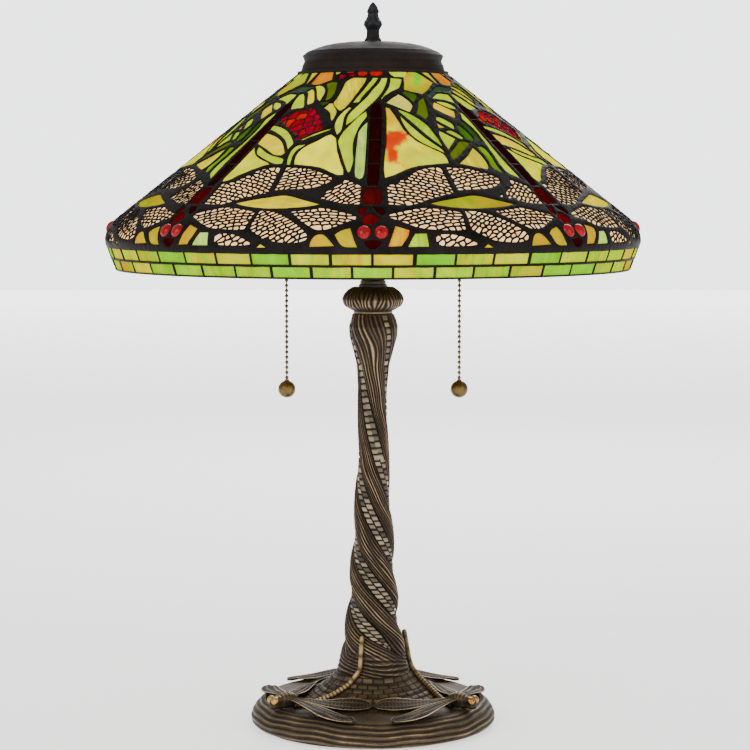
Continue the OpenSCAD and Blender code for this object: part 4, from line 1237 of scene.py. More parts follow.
    def triangulate(self) -> None:
        """Triangulates the ring with every outline in it."""
        self.inner_r, self.outer_r = (
            float(np.hypot(*self.meridian.flat(np.array([0.0]), np.array([s]))[0]))
            for s in (-self.overlap, self.meridian.length)
        )
        self.index_outlines()
        around = np.radians(np.arange(0, 360, 0.75))
        unit = np.stack([np.sin(around), -np.cos(around)], 1)
        parts = [loop.points for loop in self.loops]
        parts += [unit[::3] * self.inner_r, unit * self.outer_r, self.crest_points()]
        starts = np.cumsum([0] + [len(p) for p in parts])
        faces = [list(range(a, b)) for a, b in zip(starts[:-3], starts[1:-2])]
        points = np.concatenate(parts)
        LOG.info("triangulating %d points and %d outlines", len(points), len(faces))
        out = delaunay_2d_cdt([Vector(p) for p in points.tolist()], [], faces, 0, 1e-4, True)
        self.xy = np.array([tuple(p) for p in out[0]])
        self.tris = np.array(out[2])
        self.owner = np.array([ids[0] if ids else -1 for ids in out[5]])
        self.hole = len(self.loops)
        self.az, self.s = self.meridian.unflat(self.xy)
        gaps = self.near(self.xy)[0]
        self.gap = np.where(gaps < 0.02, 0, gaps)

    # -- solids

    def slab(
        self, name: str, tris: np.ndarray, top: np.ndarray, foot: np.ndarray, tuck: float
    ) -> tuple[bpy.types.Object, np.ndarray]:
        """Makes a closed slab of some triangles of the ring.

        Args:
            name: The piece's name.
            tris: The triangles, as vertex numbers of the ring.
            top: Height of each ring vertex above the shade's surface.
            foot: Height of each ring vertex on the inner side.
            tuck: How far the border is moved outwards.

        Returns:
            The piece, and the ring's vertex number for each vertex of its upper half.
        """
        used, flat = np.unique(tris, return_inverse=True)
        tris = flat.reshape(-1, 3)
        xy = self.xy[used].copy()
        a, b, c = (xy[tris[:, k]] for k in range(3))
        turned = (b[:, 0] - a[:, 0]) * (c[:, 1] - a[:, 1]) < (b[:, 1] - a[:, 1]) * (c[:, 0] - a[:, 0])
        tris[turned] = tris[turned][:, ::-1]
        edges = np.concatenate([tris[:, [0, 1]], tris[:, [1, 2]], tris[:, [2, 0]]])
        known = {tuple(e) for e in edges.tolist()}
        border = np.array([e for e in edges.tolist() if (e[1], e[0]) not in known])
        if tuck:
            run = xy[border[:, 1]] - xy[border[:, 0]]
            out = np.stack([run[:, 1], -run[:, 0]], 1)
            out /= np.maximum(np.hypot(*out.T)[:, None], 1e-9)
            push = np.zeros_like(xy)
            np.add.at(push, border[:, 0], out)
            np.add.at(push, border[:, 1], out)
            push /= np.maximum(np.hypot(*push.T)[:, None], 0.4)
            xy += push * tuck
        az, s = self.meridian.unflat(xy)
        upper = self.meridian.surface(az, s, top[used])
        lower = self.meridian.surface(az, s, foot[used])
        count = len(used)
        faces = tris.tolist() + (tris[:, ::-1] + count).tolist()
        faces += [(q, p, p + count, q + count) for p, q in border.tolist()]
        return mesh_piece(name, np.concatenate([upper, lower]), faces), used

    def make_glass(self, finish: dict[Glass, bpy.types.Material]) -> None:
        """Makes one piece per kind of glass."""
        kinds = list(Glass)
        number = np.array([kinds.index(lp.pane.glass) if lp.pane else -1 for lp in self.loops] + [-2, -2])
        kind_of = np.where(self.owner >= 0, number[self.owner], -2)
        ripple = 0.12 * np.sin(self.xy[:, 0] * 0.21 + 1.3) * np.sin(self.xy[:, 1] * 0.17)
        crown = np.minimum(self.gap, 3) / 3
        top = -0.12 + 0.25 * crown + ripple * crown
        foot = np.full(len(self.xy), -self.glass_t)
        vertex_loop = np.full(len(self.xy), -1)
        for k in range(3):
            good = self.owner >= 0
            vertex_loop[self.tris[good, k]] = self.owner[good]
        for i, glass in enumerate(kinds):
            tris = self.tris[kind_of == i]
            piece, used = self.slab(glass.value.replace("_glass", "") + "_panes", tris, top, foot, self.tuck)
            tint_a, tint_b, grain = self.tints(used, vertex_loop[used])
            for key, values in (("tint_a", tint_a), ("tint_b", tint_b)):
                paint(piece, key, "FLOAT_COLOR", np.concatenate([values, values]))
            paint(piece, "grain", "FLOAT_VECTOR", np.concatenate([grain, grain]))
            smooth(piece, 40)
            Place("shade", (glass.value,), slot_of(glass)).put(piece, finish[glass])

    def tints(self, used: np.ndarray, loops: np.ndarray) -> tuple[np.ndarray, np.ndarray, np.ndarray]:
        """Gives each vertex its two colours and its place along and across its pane's streaks."""
        tint_a, tint_b = np.zeros((len(used), 3)), np.zeros((len(used), 3))
        grain = np.zeros((len(used), 3))
        az, s = self.az[used], self.s[used]
        wide = np.radians(self.meridian.radius(s))
        order = np.argsort(loops, kind="stable")
        cuts = np.flatnonzero(np.diff(loops[order])) + 1
        for group in np.split(order, cuts):
            pane = self.loops[loops[group[0]]].pane
            x = ((az[group] - az[group[0]] + 180) % 360 - 180) * wide[group]
            lean = math.radians(pane.lean)
            down = s[group]
            grain[group, 0] = down * math.cos(lean) + x * math.sin(lean)
            grain[group, 1] = x * math.cos(lean) - down * math.sin(lean) + 37.0 * loops[group[0]]
            grain[group, 2] = 11.0 * loops[group[0]]
            tint_a[group], tint_b[group] = pane.tints
            if pane.shade:
                local = az[group] % (2 * self.sector)
                colour = pane.shade(local / Pattern().leaf_stretch, down)
                tint_a[group] = colour
                tint_b[group] = np.clip(colour * 0.9 + 0.03, 0, 1)
        return tint_a, tint_b, grain

    def make_solder(self, material: bpy.types.Material) -> None:
        """Makes the rounded solder, one piece per sector."""
        outside = self.owner == -1
        rise = 1 - np.clip(self.gap / self.fillet, 0, 1)
        lump = 0.22 * np.sin(self.xy[:, 0] * 0.63 + 0.7 * np.sin(self.xy[:, 1] * 0.31))
        lump *= np.sin(self.xy[:, 1] * 0.71)
        high = np.sqrt(np.maximum(1 - rise**2, 0))
        top = -0.22 + (self.proud + 0.22 + lump) * high
        ends = np.minimum(np.abs(self.s + self.overlap), np.abs(self.meridian.length - self.s))
        top = np.where(ends < 0.05, 0.1, top)
        foot = -self.glass_t - 0.5 * np.maximum(top, 0) + 0.1
        middle = self.xy[self.tris].mean(1)
        az = np.degrees(np.arctan2(middle[:, 0], -middle[:, 1])) % 360
        part = ((az + self.sector / 2) % 360 // self.sector).astype(int)
        for i in range(self.flies):
            tris = self.tris[outside & (part == i)]
            piece, _ = self.slab(f"solder_{i + 1}", tris, top, foot, 0)
            smooth(piece, 60)
            Place("shade", ("lead_cames",), "solder").put(piece, material)

    def make_eyes(self, material: bpy.types.Material) -> None:
        """Makes the red cabochons of the dragonflies' eyes."""
        deselect()
        made = []
        for i in range(self.flies):
            for side in (-1, 1):
                az = i * self.sector + side * self.eye_az
                centre = self.meridian.surface([az], [self.eye_s], [-0.6])[0]
                tip = self.meridian.surface([az], [self.eye_s], [4.0])[0]
                bpy.ops.mesh.primitive_uv_sphere_add(segments=28, ring_count=16, radius=MM)
                eye = bpy.context.object
                out = Vector(tip - centre).normalized()
                along = Vector((math.cos(math.radians(az)), math.sin(math.radians(az)), 0))
                down = out.cross(along)
                turn = Matrix((along, down, out)).transposed().to_4x4()
                eye.matrix_world = Matrix.Translation(centre) @ turn @ Matrix.Diagonal((*self.eye_size, 1))
                made.append(eye)
        for eye in made:
            eye.select_set(True)
        bpy.context.view_layer.objects.active = made[0]
        bpy.ops.object.join()
        eyes = bpy.context.object
        eyes.name = "eyes_of_red_glass"
        settle(eyes)
        smooth(eyes, 60)
        Place("shade", ("eye_cabochons",), "cabochon").put(eyes, material)

    def make(self, look: "Palette") -> None:
        """Builds the whole shade."""
        self.lay_out()
        self.triangulate()
        self.make_glass(look.glass)
        self.make_solder(look.solder)
        self.make_eyes(look.gem)


def slot_of(glass: Glass) -> str:
    """Gives the record's slot for a kind of glass."""
    special = {
        Glass.UPPER_WING: "wing_glass", Glass.LOWER_WING: "wing_glass", Glass.SIDE: "side_glass",
        Glass.UPPER_BRICK: "brick_glass", Glass.LOWER_BRICK: "brick_glass",
    }
    return special.get(glass, glass.value)


# ---------------------------------------------------------------- the cast stand


def crest(x, power: float = 0.7):
    """Gives rounded ridges with narrow furrows, one for each unit of x, from 0 to 1."""
    return np.abs(np.sin(np.pi * x)) ** power


def ease(x, low: float, high: float):
    """Gives a smooth rise from 0 at low to 1 at high."""
    t = np.clip((x - low) / (high - low), 0, 1)
    return t * t * (3 - 2 * t)


def tile_mask(across, along, groove: float, joint: float):
    """Gives 1 on the flat of each unit tile and 0 in the grooves and joints round it."""
    side, end = np.abs(across - np.round(across)), np.abs(along - np.round(along))
    return ease(side, 0.3 * groove, groove) * ease(end, 0.35 * joint, joint)


def tile_tone(*keys):
    """Gives every tile its own tone from 0 to 1, from its whole-number keys."""
    mixed = sum(np.asarray(key) * weight for key, weight in zip(keys, (12.9898, 78.233, 37.719)))
    return np.abs(np.sin(mixed) * 43758.5453) % 1


def grid_faces(rows: int, cols: int, closed: bool) -> np.ndarray:
    """Gives the faces of a grid whose columns join up, and whose rows do when closed."""
    j, i = (g.ravel() for g in np.meshgrid(np.arange(rows if closed else rows - 1), np.arange(cols),
                                           indexing="ij"))
    up, on = (j + 1) % rows, (i + 1) % cols
    return np.stack([j * cols + i, j * cols + on, up * cols + on, up * cols + i], 1)


def turned(name: str, r: np.ndarray, z: np.ndarray, az: np.ndarray, relief: np.ndarray,
           inlay: np.ndarray | None = None) -> bpy.types.Object:
    """Makes a closed skin round the lamp's axis from a grid that runs up outside and down inside.

    Args:
        name: The piece's name.
        r: Radius of each point, one row per ring.
        z: Height of each point.
        az: Azimuth of each point in degrees.
        relief: How proud each point is, from 0 to 1; on the knob it also carries painted shade towards the
            top.
        inlay: Share of inlaid tile at each point.

    Returns:
        The new object.
    """
    rows, cols = r.shape
    turn = np.radians(az)
    points = np.stack([r * np.sin(turn), -r * np.cos(turn), z + 0 * r], -1).reshape(-1, 3) * MM
    piece = mesh_piece(name, points, grid_faces(rows, cols, True))
    paint(piece, "relief", "FLOAT", relief.ravel())
    if inlay is not None:
        paint(piece, "inlay", "FLOAT", inlay.ravel())
    smooth(piece, 50)
    return piece


def loft(name: str, sections: np.ndarray, relief: np.ndarray) -> bpy.types.Object:
    """Makes a closed piece from rings of points in millimetres, with a flat cap at each end."""
    rows, cols, _ = sections.shape
    faces = grid_faces(rows, cols, False).tolist()
    faces += [list(range(cols))[::-1], list(range((rows - 1) * cols, rows * cols))]
    centre = sections.reshape(-1, 3).mean(0)
    a, b, c = (sections.reshape(-1, 3)[[f[k] for f in faces[:-2]]] - centre for k in range(3))
    if np.einsum("ij,ij->i", a, np.cross(b, c)).sum() < 0:
        faces = [f[::-1] for f in faces]
    piece = mesh_piece(name, sections.reshape(-1, 3) * MM, faces)
    paint(piece, "relief", "FLOAT", relief.ravel())
    return piece


def join(name: str, pieces: list[bpy.types.Object]) -> bpy.types.Object:
    """Joins pieces into one with a new name."""
    activate(pieces[0])
    for piece in pieces:
        piece.select_set(True)
    bpy.ops.object.join()
    made = bpy.context.object
    made.name = name
    return made


@dataclass
class Trunk:
    """The twisted trunk: three strands of bark with bands of small tiles between them.

    Args:
        low: Height of its foot.
        high: Height of its neck.
        radius: Its radius at the foot.
        strands: Number of strands.
        ridges: Bark ridges on each strand.
        band: Half the width of a band of tiles, square to the band.
        tile: Length of a tile.
        rows: Rings from foot to neck.
        cols: Points round each ring.
        bore: Radius of the hole for the pipe.
        profile: Share of the height and share of the radius, from the foot up.
        eyes: Place across the strand and share of the height of each knot in the bark.
    """

    low: float
    high: float
    radius: float
    strands: int = 3
    ridges: int = 9
    band: float = 6.3
    tile: float = 5.8
    rows: int = 384
    cols: int = 252
    bore: float = 9
    profile: tuple[Point, ...] = (
        (0, 1), (0.03, 0.93), (0.07, 0.865), (0.12, 0.785), (0.17, 0.73), (0.24, 0.665), (0.3, 0.63),
        (0.36, 0.585), (0.42, 0.548), (0.5, 0.5), (0.6, 0.445), (0.7, 0.42), (0.8, 0.412), (0.86, 0.45),
        (0.9, 0.55), (0.94, 0.652), (0.965, 0.668), (1, 0.585),
    )
    eyes: tuple[Point, ...] = ((0.5, 0.9), (0.45, 0.5), (0.55, 0.27))

    def envelope(self, t):
        """Gives the radius over the bark at a share of the height."""
        return self.radius * np.interp(t, *np.array(self.profile).T)

    def twist(self, t):
        """Gives the azimuth of the first band at a share of the height."""
        down = (0.9146 - np.asarray(t)) * 1.197
        return -70 + 461 * (0.295 * down + 0.705 * down * np.abs(down))

    def make(self, material: bpy.types.Material) -> None:
        """Builds the trunk."""
        high = self.high - self.low
        fine = np.linspace(0, 1, 2000)
        slope = np.gradient(np.radians(self.twist(fine)), fine) * self.envelope(fine) / high
        run = np.concatenate([[0], np.cumsum(np.hypot(1, slope[1:]) * high / 1999)])
        t = np.interp(np.linspace(0, run[-1], self.rows), run, fine)
        lean = np.hypot(1, np.interp(t, fine, slope))[:, None]
        along = np.linspace(0, run[-1], self.rows)[:, None] / self.tile
        z = t[:, None] * high
        base = self.envelope(t)[:, None]
        u = np.arange(self.cols)[None] / self.cols * self.strands
        strand = np.floor(u + 0.5)
        side = u - strand
        az = self.twist(t)[:, None] + u / self.strands * 360
        half = self.band * lean / (2 * np.pi * base / self.strands)
        half *= ease(t[:, None], 0.05, 0.13) * (1 - 0.5 * ease(t[:, None], 0.62, 0.9))
        band = np.clip(side / np.maximum(half, 1e-3), -3, 3)
        v = np.clip((np.where(side < 0, side + 1, side) - half) / (1 - 2 * half), 0, 1)
        which = np.where(side < 0, strand - 1, strand) % self.strands
        v = v + v * (1 - v) * (0.22 * np.sin(z * 0.062 + 2.1 * which) + 0.1 * np.sin(z * 0.17 + which))
        for spot, level in self.eyes:
            far = ((v - spot) / 0.16) ** 2 + ((z / high - level - 0.035 * which) / 0.034) ** 2
            v = spot + (v - spot) * (1 - 0.5 * np.exp(-far))
        sway = v + v * (1 - v) * 0.5 * np.sin(z * 0.031 + 1.7 * which + 0.8)
        second = crest((self.ridges - 2.5) * sway + z * 0.012, 0.5)
        ridge = crest(self.ridges * v) * (0.5 + 0.5 * second)
        bulge = 1 - (2 * v - 1) ** 2
        swell = (3.3 - 2.2 * ease(t, 0.1, 0.8))[:, None]
        depth = 1.35 - 0.45 * ease(t, 0.2, 0.9)[:, None]
        bark = base - swell * (1 - bulge) ** 1.3 - depth * (1 - ridge)
        inside = np.abs(band) < 1
        double = t[:, None] < 0.6
        across = np.where(double, band, 0.5 + 0.5 * band)
        place = along + 0.5 * ((band > 0) & double) + 0.37 * strand
        flat = tile_mask(across, place, 0.12, 0.17)
        flat = flat * (1 - ease(np.abs(band), 0.86, 0.97))
        tone = tile_tone(np.floor(place), (band > 0) & double, strand)
        edge = ease(np.abs(band), 0.9, 1.0) * (1 - ease(np.abs(band), 1.0, 1.25))
        tiles = base - swell - 1.5 + 1.3 * flat * (1 - 0.15 * band**2)
        r = np.where(inside, tiles, bark - 1.2 * edge)
        relief = np.where(inside, flat * (0.15 + 0.85 * tone), ridge**3 * (0.5 + 0.5 * bulge))
        inlay = np.where(inside, flat, 0)
        tangle = z / 3.5 + 8 * az / 360 + 0.4 * np.sin(np.radians(az) * 3 + z * 0.2)
        low_ridge = 0.75 * crest(tangle) + 0.25 * crest(2.1 * tangle + np.sin(np.radians(az) * 5))
        share = 1 - ease(z + 2.5 * np.sin(np.radians(az) * 2), 9, 24)
        r = r + (base - 1.5 * (1 - low_ridge) - 0.3 - r) * share
        relief = relief + (0.85 * low_ridge**4 - relief) * share
        inlay = inlay * (1 - share)
        ends = 1 - ease(t, 0.985, 1.0)[:, None]
        r = base - 1 + (r - base + 1) * ends
        inner_r = np.full((2, self.cols), self.bore)
        inner_z = np.array([[high], [0.0]]) + 0 * inner_r
        piece = turned(
            "bark_trunk", np.concatenate([r, inner_r]), self.low + np.concatenate([z + 0 * r, inner_z]),
            np.concatenate([az, az[-1:], az[:1]]), np.concatenate([relief, 0 * inner_r]),
            np.concatenate([inlay, 0 * inner_r]),
        )
        Place("stand", ("trunk_casting",), "bronze_casting").put(piece, material)


@dataclass
class Foot:
    """The broad foot: rows of worn tiles on its flare and wavy grain round its edge.

    Args:
        cols: Points round each ring.
        step: Distance between rings.
        tile: Height of a row of tiles.
        tile_wide: Width of a tile.
        outer: Radius and height along the outside, from the rim up.
        hollow: Radius and height along the inside, from the pipe out.
        inlet: Height and radius of the flat round the cord's inlet, and its distance from the axis.
    """

    cols: int = 600
    step: float = 0.78
    tile: float = 5.4
    tile_wide: float = 9.3
    outer: tuple[Point, ...] = (
        (100, 1), (105.5, 1.6), (108, 5), (107.7, 8.5), (105.6, 13.5), (102, 18), (97.5, 21), (92.5, 22.3),
        (88, 21.6), (80, 21.2), (70, 22.5), (60, 25.2), (50, 30.4), (40, 37.6), (35, 43), (33.5, 46),
    )
    hollow: tuple[Point, ...] = (
        (6, 46), (6, 38.2), (19, 38), (46, 26.4), (70, 18.5), (80, 17.2), (95, 14), (100.5, 8.5), (92.2, 3),
    )
    inlet: tuple[float, float, float] = (9.5, 8.7, 105.0)

    def top(self, r):
        """Gives the height of the foot's upper side at a radius."""
        rim = np.array(self.outer[6:][::-1])
        return np.interp(r, rim[:, 0], rim[:, 1])

    def make(self, material: bpy.types.Material) -> None:
        """Builds the foot."""
        knots = np.array(self.outer, float)
        marks = np.concatenate([[0], np.cumsum(np.hypot(*np.diff(knots, axis=0).T))])
        p = np.linspace(0, marks[-1], int(marks[-1] / self.step))
        curve = np.stack([np.interp(p, marks, knots[:, k]) for k in (0, 1)], 1)
        soft = np.pad(curve, ((3, 3), (0, 0)), "reflect", reflect_type="odd")
        curve = np.stack([np.convolve(soft[:, k], np.full(7, 1 / 7), "valid") for k in (0, 1)], 1)
        ahead = np.gradient(curve, axis=0)
        ahead /= np.hypot(*ahead.T)[:, None]
        az = np.arange(self.cols)[None] / self.cols * 360 + 0 * p[:, None]
        turn, p = np.radians(az), p[:, None]
        r0, z0 = curve[:, :1], curve[:, 1:]
        grain = p / 5.0 + 0.26 * np.sin(3 * turn + 0.6) + 0.17 * np.sin(7 * turn + 2)
        grain = grain + 0.07 * np.sin(17 * turn)
        rim = crest(grain, 0.9) * 0.8 + 0.2 * crest(2.3 * grain + 0.4 * np.sin(5 * turn))
        near_rim = ease(p, 1, 4) * (1 - ease(p + 2.5 * np.sin(2 * turn + 1), 29, 36))
        row = (marks[-1] - p) / self.tile
        level = np.floor(row)
        middle_r = np.interp(marks[-1] - (level + 0.5) * self.tile, marks, knots[:, 0])
        whole = np.maximum(np.round(2 * np.pi * middle_r / self.tile_wide), 8)
        around = az / 360 * whole + 0.5 * (level % 2)
        flat = tile_mask(row, around, 0.13, 0.09)
        tone = tile_tone(np.floor(around) % whole, level)
        fade = 1 - ease(r0, 52, 80)
        out = near_rim * 0.95 * (rim - 0.6) + fade * (0.75 * flat - 0.5 + 0.25 * (tone - 0.5))
        field_relief = 0.38 + 0.16 * np.sin(p * 0.9 + np.sin(4 * turn)) * fade
        relief = field_relief * (1 - near_rim) + near_rim * (0.1 + rim**4 * 0.72)
        relief = relief * (1 - fade * (1 - flat)) + fade * flat * 0.32 * (tone - 0.4)
        r = r0 + ahead[:, 1:] * out
        z = np.maximum(z0 - ahead[:, :1] * out, 0.9)
        low, wide, face = self.inlet
        hole = (np.hypot(r * np.sin(turn), z - low) < wide) & (np.cos(turn) < 0)
        r = np.where(hole, np.minimum(r, face / np.maximum(-np.cos(turn), 0.1)), r)
        inner = np.array(self.hollow)
        rest = np.ones((len(inner), self.cols))
        piece = turned(
            "foot_skin", np.concatenate([r, inner[:, :1] * rest]), np.concatenate([z, inner[:, 1:] * rest]),
            np.concatenate([az, az[: len(inner)]]), np.concatenate([relief, 0 * rest]),
        )
        Place("stand", ("foot_casting",), "bronze_casting").put(piece, material)


@dataclass
class Ornament:
    """The dragonflies cast on the foot, with their tails up the trunk.

    Args:
        foot: The foot they sit on.
        trunk: The trunk their tails climb.
        azimuths: Where they sit.
        radius: Distance of the body from the axis.
        level: Height of the wings.
        length: Length of a fore wing.
        width: Width of a wing.
        thick: Thickness of a wing.
        climb: How far the tails climb the trunk.
        swing: How far the tails wind round it, in degrees.
    """

    foot: Foot
    trunk: Trunk
    azimuths: tuple[float, ...] = (-60, 60, 180)
    radius: float = 86.4
    level: float = 30.8
    length: float = 76
    width: float = 19
    thick: float = 1.9
    climb: float = 34
    swing: float = 40

    def place(self, local: np.ndarray, az: float) -> np.ndarray:
        """Turns local points, with x outwards from the axis, to an azimuth."""
        turn = math.radians(az - 90)
        co, si = math.cos(turn), math.sin(turn)
        x, y, z = np.moveaxis(local, -1, 0)
        return np.stack([x * co - y * si, x * si + y * co, z], -1)

    def wing(self, name: str, az: float, sweep: float, length: float) -> bpy.types.Object:
        """Makes one veined wing that droops towards the foot."""
        rows, half = 110, 22
        k = np.linspace(0, 1, rows)[:, None]
        c = np.cos(np.linspace(0, np.pi, half))
        c = np.concatenate([c, c[::-1][1:-1]])[None]
        top = np.concatenate([np.ones(half), np.zeros(half - 2)])[None]
        round_tip = np.sqrt(1 - 0.97 * np.clip((k - 0.6) / 0.4, 0, 1) ** 2.6)
        wide = self.width / 2 * (0.3 + 0.7 * ease(k, -0.05, 0.6)) * round_tip
        side = math.copysign(1, sweep)
        along = 5.5 + k * length
        off = c * wide - 1.32 * side * np.sin(np.pi * k)
        turn = math.radians(sweep)
        x = self.radius + along * math.cos(turn) - off * math.sin(turn)
        y = along * math.sin(turn) + off * math.cos(turn)
        q = ease(k, 0.0, 0.85)
        sheet = self.level * (1 - q) + (self.foot.top(np.hypot(x, y)) + 2.9) * q
        lane = 2.6 * (c * 0.5 + 0.5) + 0.35 * k
        lanes = np.abs(np.sin(np.pi * lane))
        cells = np.abs(np.sin(np.pi * (k * length / 3.1 + np.floor(lane) * 0.5)))
        vein = np.maximum(1 - ease(lanes, 0.12, 0.42), 0.75 * (1 - ease(cells, 0.15, 0.5)))
        rim = ease(np.abs(c), 0.84, 0.95)
        proud = np.maximum(vein, rim) * top
        raised = (0.55 * proud + 0.25 - 0.6 * np.abs(c) ** 6) * top
        z = sheet + raised - self.thick * (1 - top) * (1 - c**4)
        points = np.stack([x + 0 * z, y + 0 * z, z], -1)
        relief = 0.1 + 0.5 * proud + 0.35 * rim * top
        return loft(name, self.place(points, az), relief)

    def torso(self, name: str, az: float) -> bpy.types.Object:
        """Makes the thorax and head."""
        x = np.linspace(-10, 16.5, 54)[:, None]
        size = np.interp(x, (-10, -6, -1, 4, 6.5, 9, 12, 15, 16.5),
                         (2.2, 5.4, 6.8, 5.8, 4.2, 4.7, 4.4, 2.6, 0.6))
        size = size + 0.35 * (crest(x / 2.9) - 0.5)
        around = np.linspace(0, 2 * np.pi, 30, endpoint=False)[None]
        y = size * np.cos(around)
        up = np.sin(around)
        tall = np.where(up > 0, 0.85 * size, 0.62 * (self.level - 22) + 0.4 * size)
        z = self.level - 0.4 - 0.07 * np.maximum(x, 0) + tall * up
        points = np.stack([self.radius + x + 0 * z, y, z], -1)
        relief = 0.25 + 0.55 * crest(x / 2.9) ** 2 * np.clip(up, 0, 1) + 0.1 * np.sin(7 * around)
        return loft(name, self.place(points, az), relief)

    def tail(self, name: str, az: float) -> bpy.types.Object:
        """Makes the ringed tail that runs in along the foot and up the trunk."""
        rows, cols = 150, 16
        k = np.linspace(0, 1, rows)
        flat = k < 0.62
        r_in = self.radius - 8 - (self.radius - 8 - self.trunk.radius) * k / 0.62
        rise = np.clip((k - 0.62) / 0.38, 0, 1)
        r = np.where(flat, r_in, self.trunk.envelope(rise * self.climb / (self.trunk.high - self.trunk.low)))
        z = np.where(flat, self.foot.top(r), self.trunk.low + rise * self.climb)
        for _ in range(6):
            r[1:-1], z[1:-1] = ((v[:-2] + 2 * v[1:-1] + v[2:]) / 4 for v in (r, z))
        turn = np.radians(self.swing * np.minimum(k / 0.68, 1) ** 1.5)
        path = np.stack([(r + 1.4) * np.cos(turn), (r + 1.4) * np.sin(turn), z + 1.6], 1)
        ahead = np.gradient(path, axis=0)
        ahead /= np.linalg.norm(ahead, axis=1)[:, None]
        run = np.concatenate([[0], np.cumsum(np.linalg.norm(np.diff(path, axis=0), axis=1))])
        ring = np.where(k < 0.56, crest(run / 3.3), crest(run / 11.5, 0.35))
        size = (3.0 - 0.7 * k) * (0.86 + 0.16 * ring) * np.sqrt(np.clip((1.012 - k) / 0.03, 0.05, 1))
        out = np.stack([np.cos(turn), np.sin(turn), np.full(rows, 0.6)], 1)
        out -= (out * ahead).sum(1)[:, None] * ahead
        out /= np.linalg.norm(out, axis=1)[:, None]
        side = np.cross(ahead, out)
        around = np.linspace(0, 2 * np.pi, cols, endpoint=False)
        points = path[:, None] + size[:, None, None] * (
            np.cos(around)[None, :, None] * out[:, None]
            + 0.85 * np.sin(around)[None, :, None] * side[:, None]
        )
        relief = (0.2 + 0.75 * ring)[:, None] * (0.6 + 0.4 * np.cos(around))[None]
        return loft(name, self.place(points, az), relief)

    def make(self, wings: bpy.types.Material, tails: bpy.types.Material) -> None:
        """Builds all the dragonflies of the foot."""
        blades, bodies, ropes = [], [], []
        for i, az in enumerate(self.azimuths):
            for j, sweep in enumerate((105.6, 136)):
                for side in (-1, 1):
                    length = self.length - 6 * j
                    blades.append(self.wing(f"blade_{i}{j}{side}", az, side * sweep, length))
            bodies.append(self.torso(f"torso_{i}", az))
            ropes.append(self.tail(f"rope_{i}", az))
        for name, parts, node, material in (
            ("foot_wings", blades, "ornament_wings", wings),
            ("foot_bodies", bodies, "ornament_bodies", wings),
            ("foot_tails", ropes, "ornament_tails", tails),
        ):
            piece = join(name, parts)
            smooth(piece, 45)
            Place("stand", (node,), "rubbed_bronze").put(piece, material)


@dataclass
class Knob:
    """The fluted knob at the top of the trunk.

    Args:
        low: Height of its foot.
        high: Height of its top.
        radius: Its largest radius.
        flutes: Number of flutes.
        cols: Points round each ring.
        rows: Rings from foot to top.
        profile: Share of the height and share of the radius.
    """

    low: float
    high: float
    radius: float
    flutes: int = 44
    cols: int = 396
    rows: int = 46
    profile: tuple[Point, ...] = (
        (0, 0.63), (0.11, 0.62), (0.17, 0.72), (0.3, 0.92), (0.42, 0.97), (0.55, 1), (0.66, 0.97),
        (0.77, 0.92), (0.89, 0.82), (1, 0.675),
    )

    def make(self, material: bpy.types.Material) -> None:
        """Builds the knob."""
        t = np.linspace(0, 1, self.rows)[:, None]
        az = np.arange(self.cols)[None] / self.cols * 360
        turn = np.radians(az)
        wave = self.flutes * az / 360 + 0.32 * np.sin(5 * turn + 5 * t) + 0.2 * np.sin(11 * turn - 7 * t)
        flute = crest(wave)
        base = self.radius * np.interp(t, *np.array(self.profile).T)
        share = ease(t, 0.1, 0.28) * (1 - ease(t, 0.86, 1))
        r = base - 1.0 * (1 - flute) * share
        neck = np.exp(-(((t - 0.07) / 0.04) ** 2))
        # The flutes are rubbed bright low down and fade dark towards the top, which is painted shade from the
        # lamp shade above.
        relief = share * flute**3 * (0.85 - 0.75 * ease(t, 0.45, 0.95)) + 0.9 * neck + 0 * az
        inner = np.full((2, self.cols), 6.0)
        z = self.low + (self.high - self.low) * np.concatenate([t, [[1.0], [0.0]]])
        piece = turned("fluted_knob", np.concatenate([r, inner]), z, az + 0 * z,
                       np.concatenate([relief, 0 * inner]))
        Place("stand", ("neck_knob",), "bronze_casting").put(piece, material)


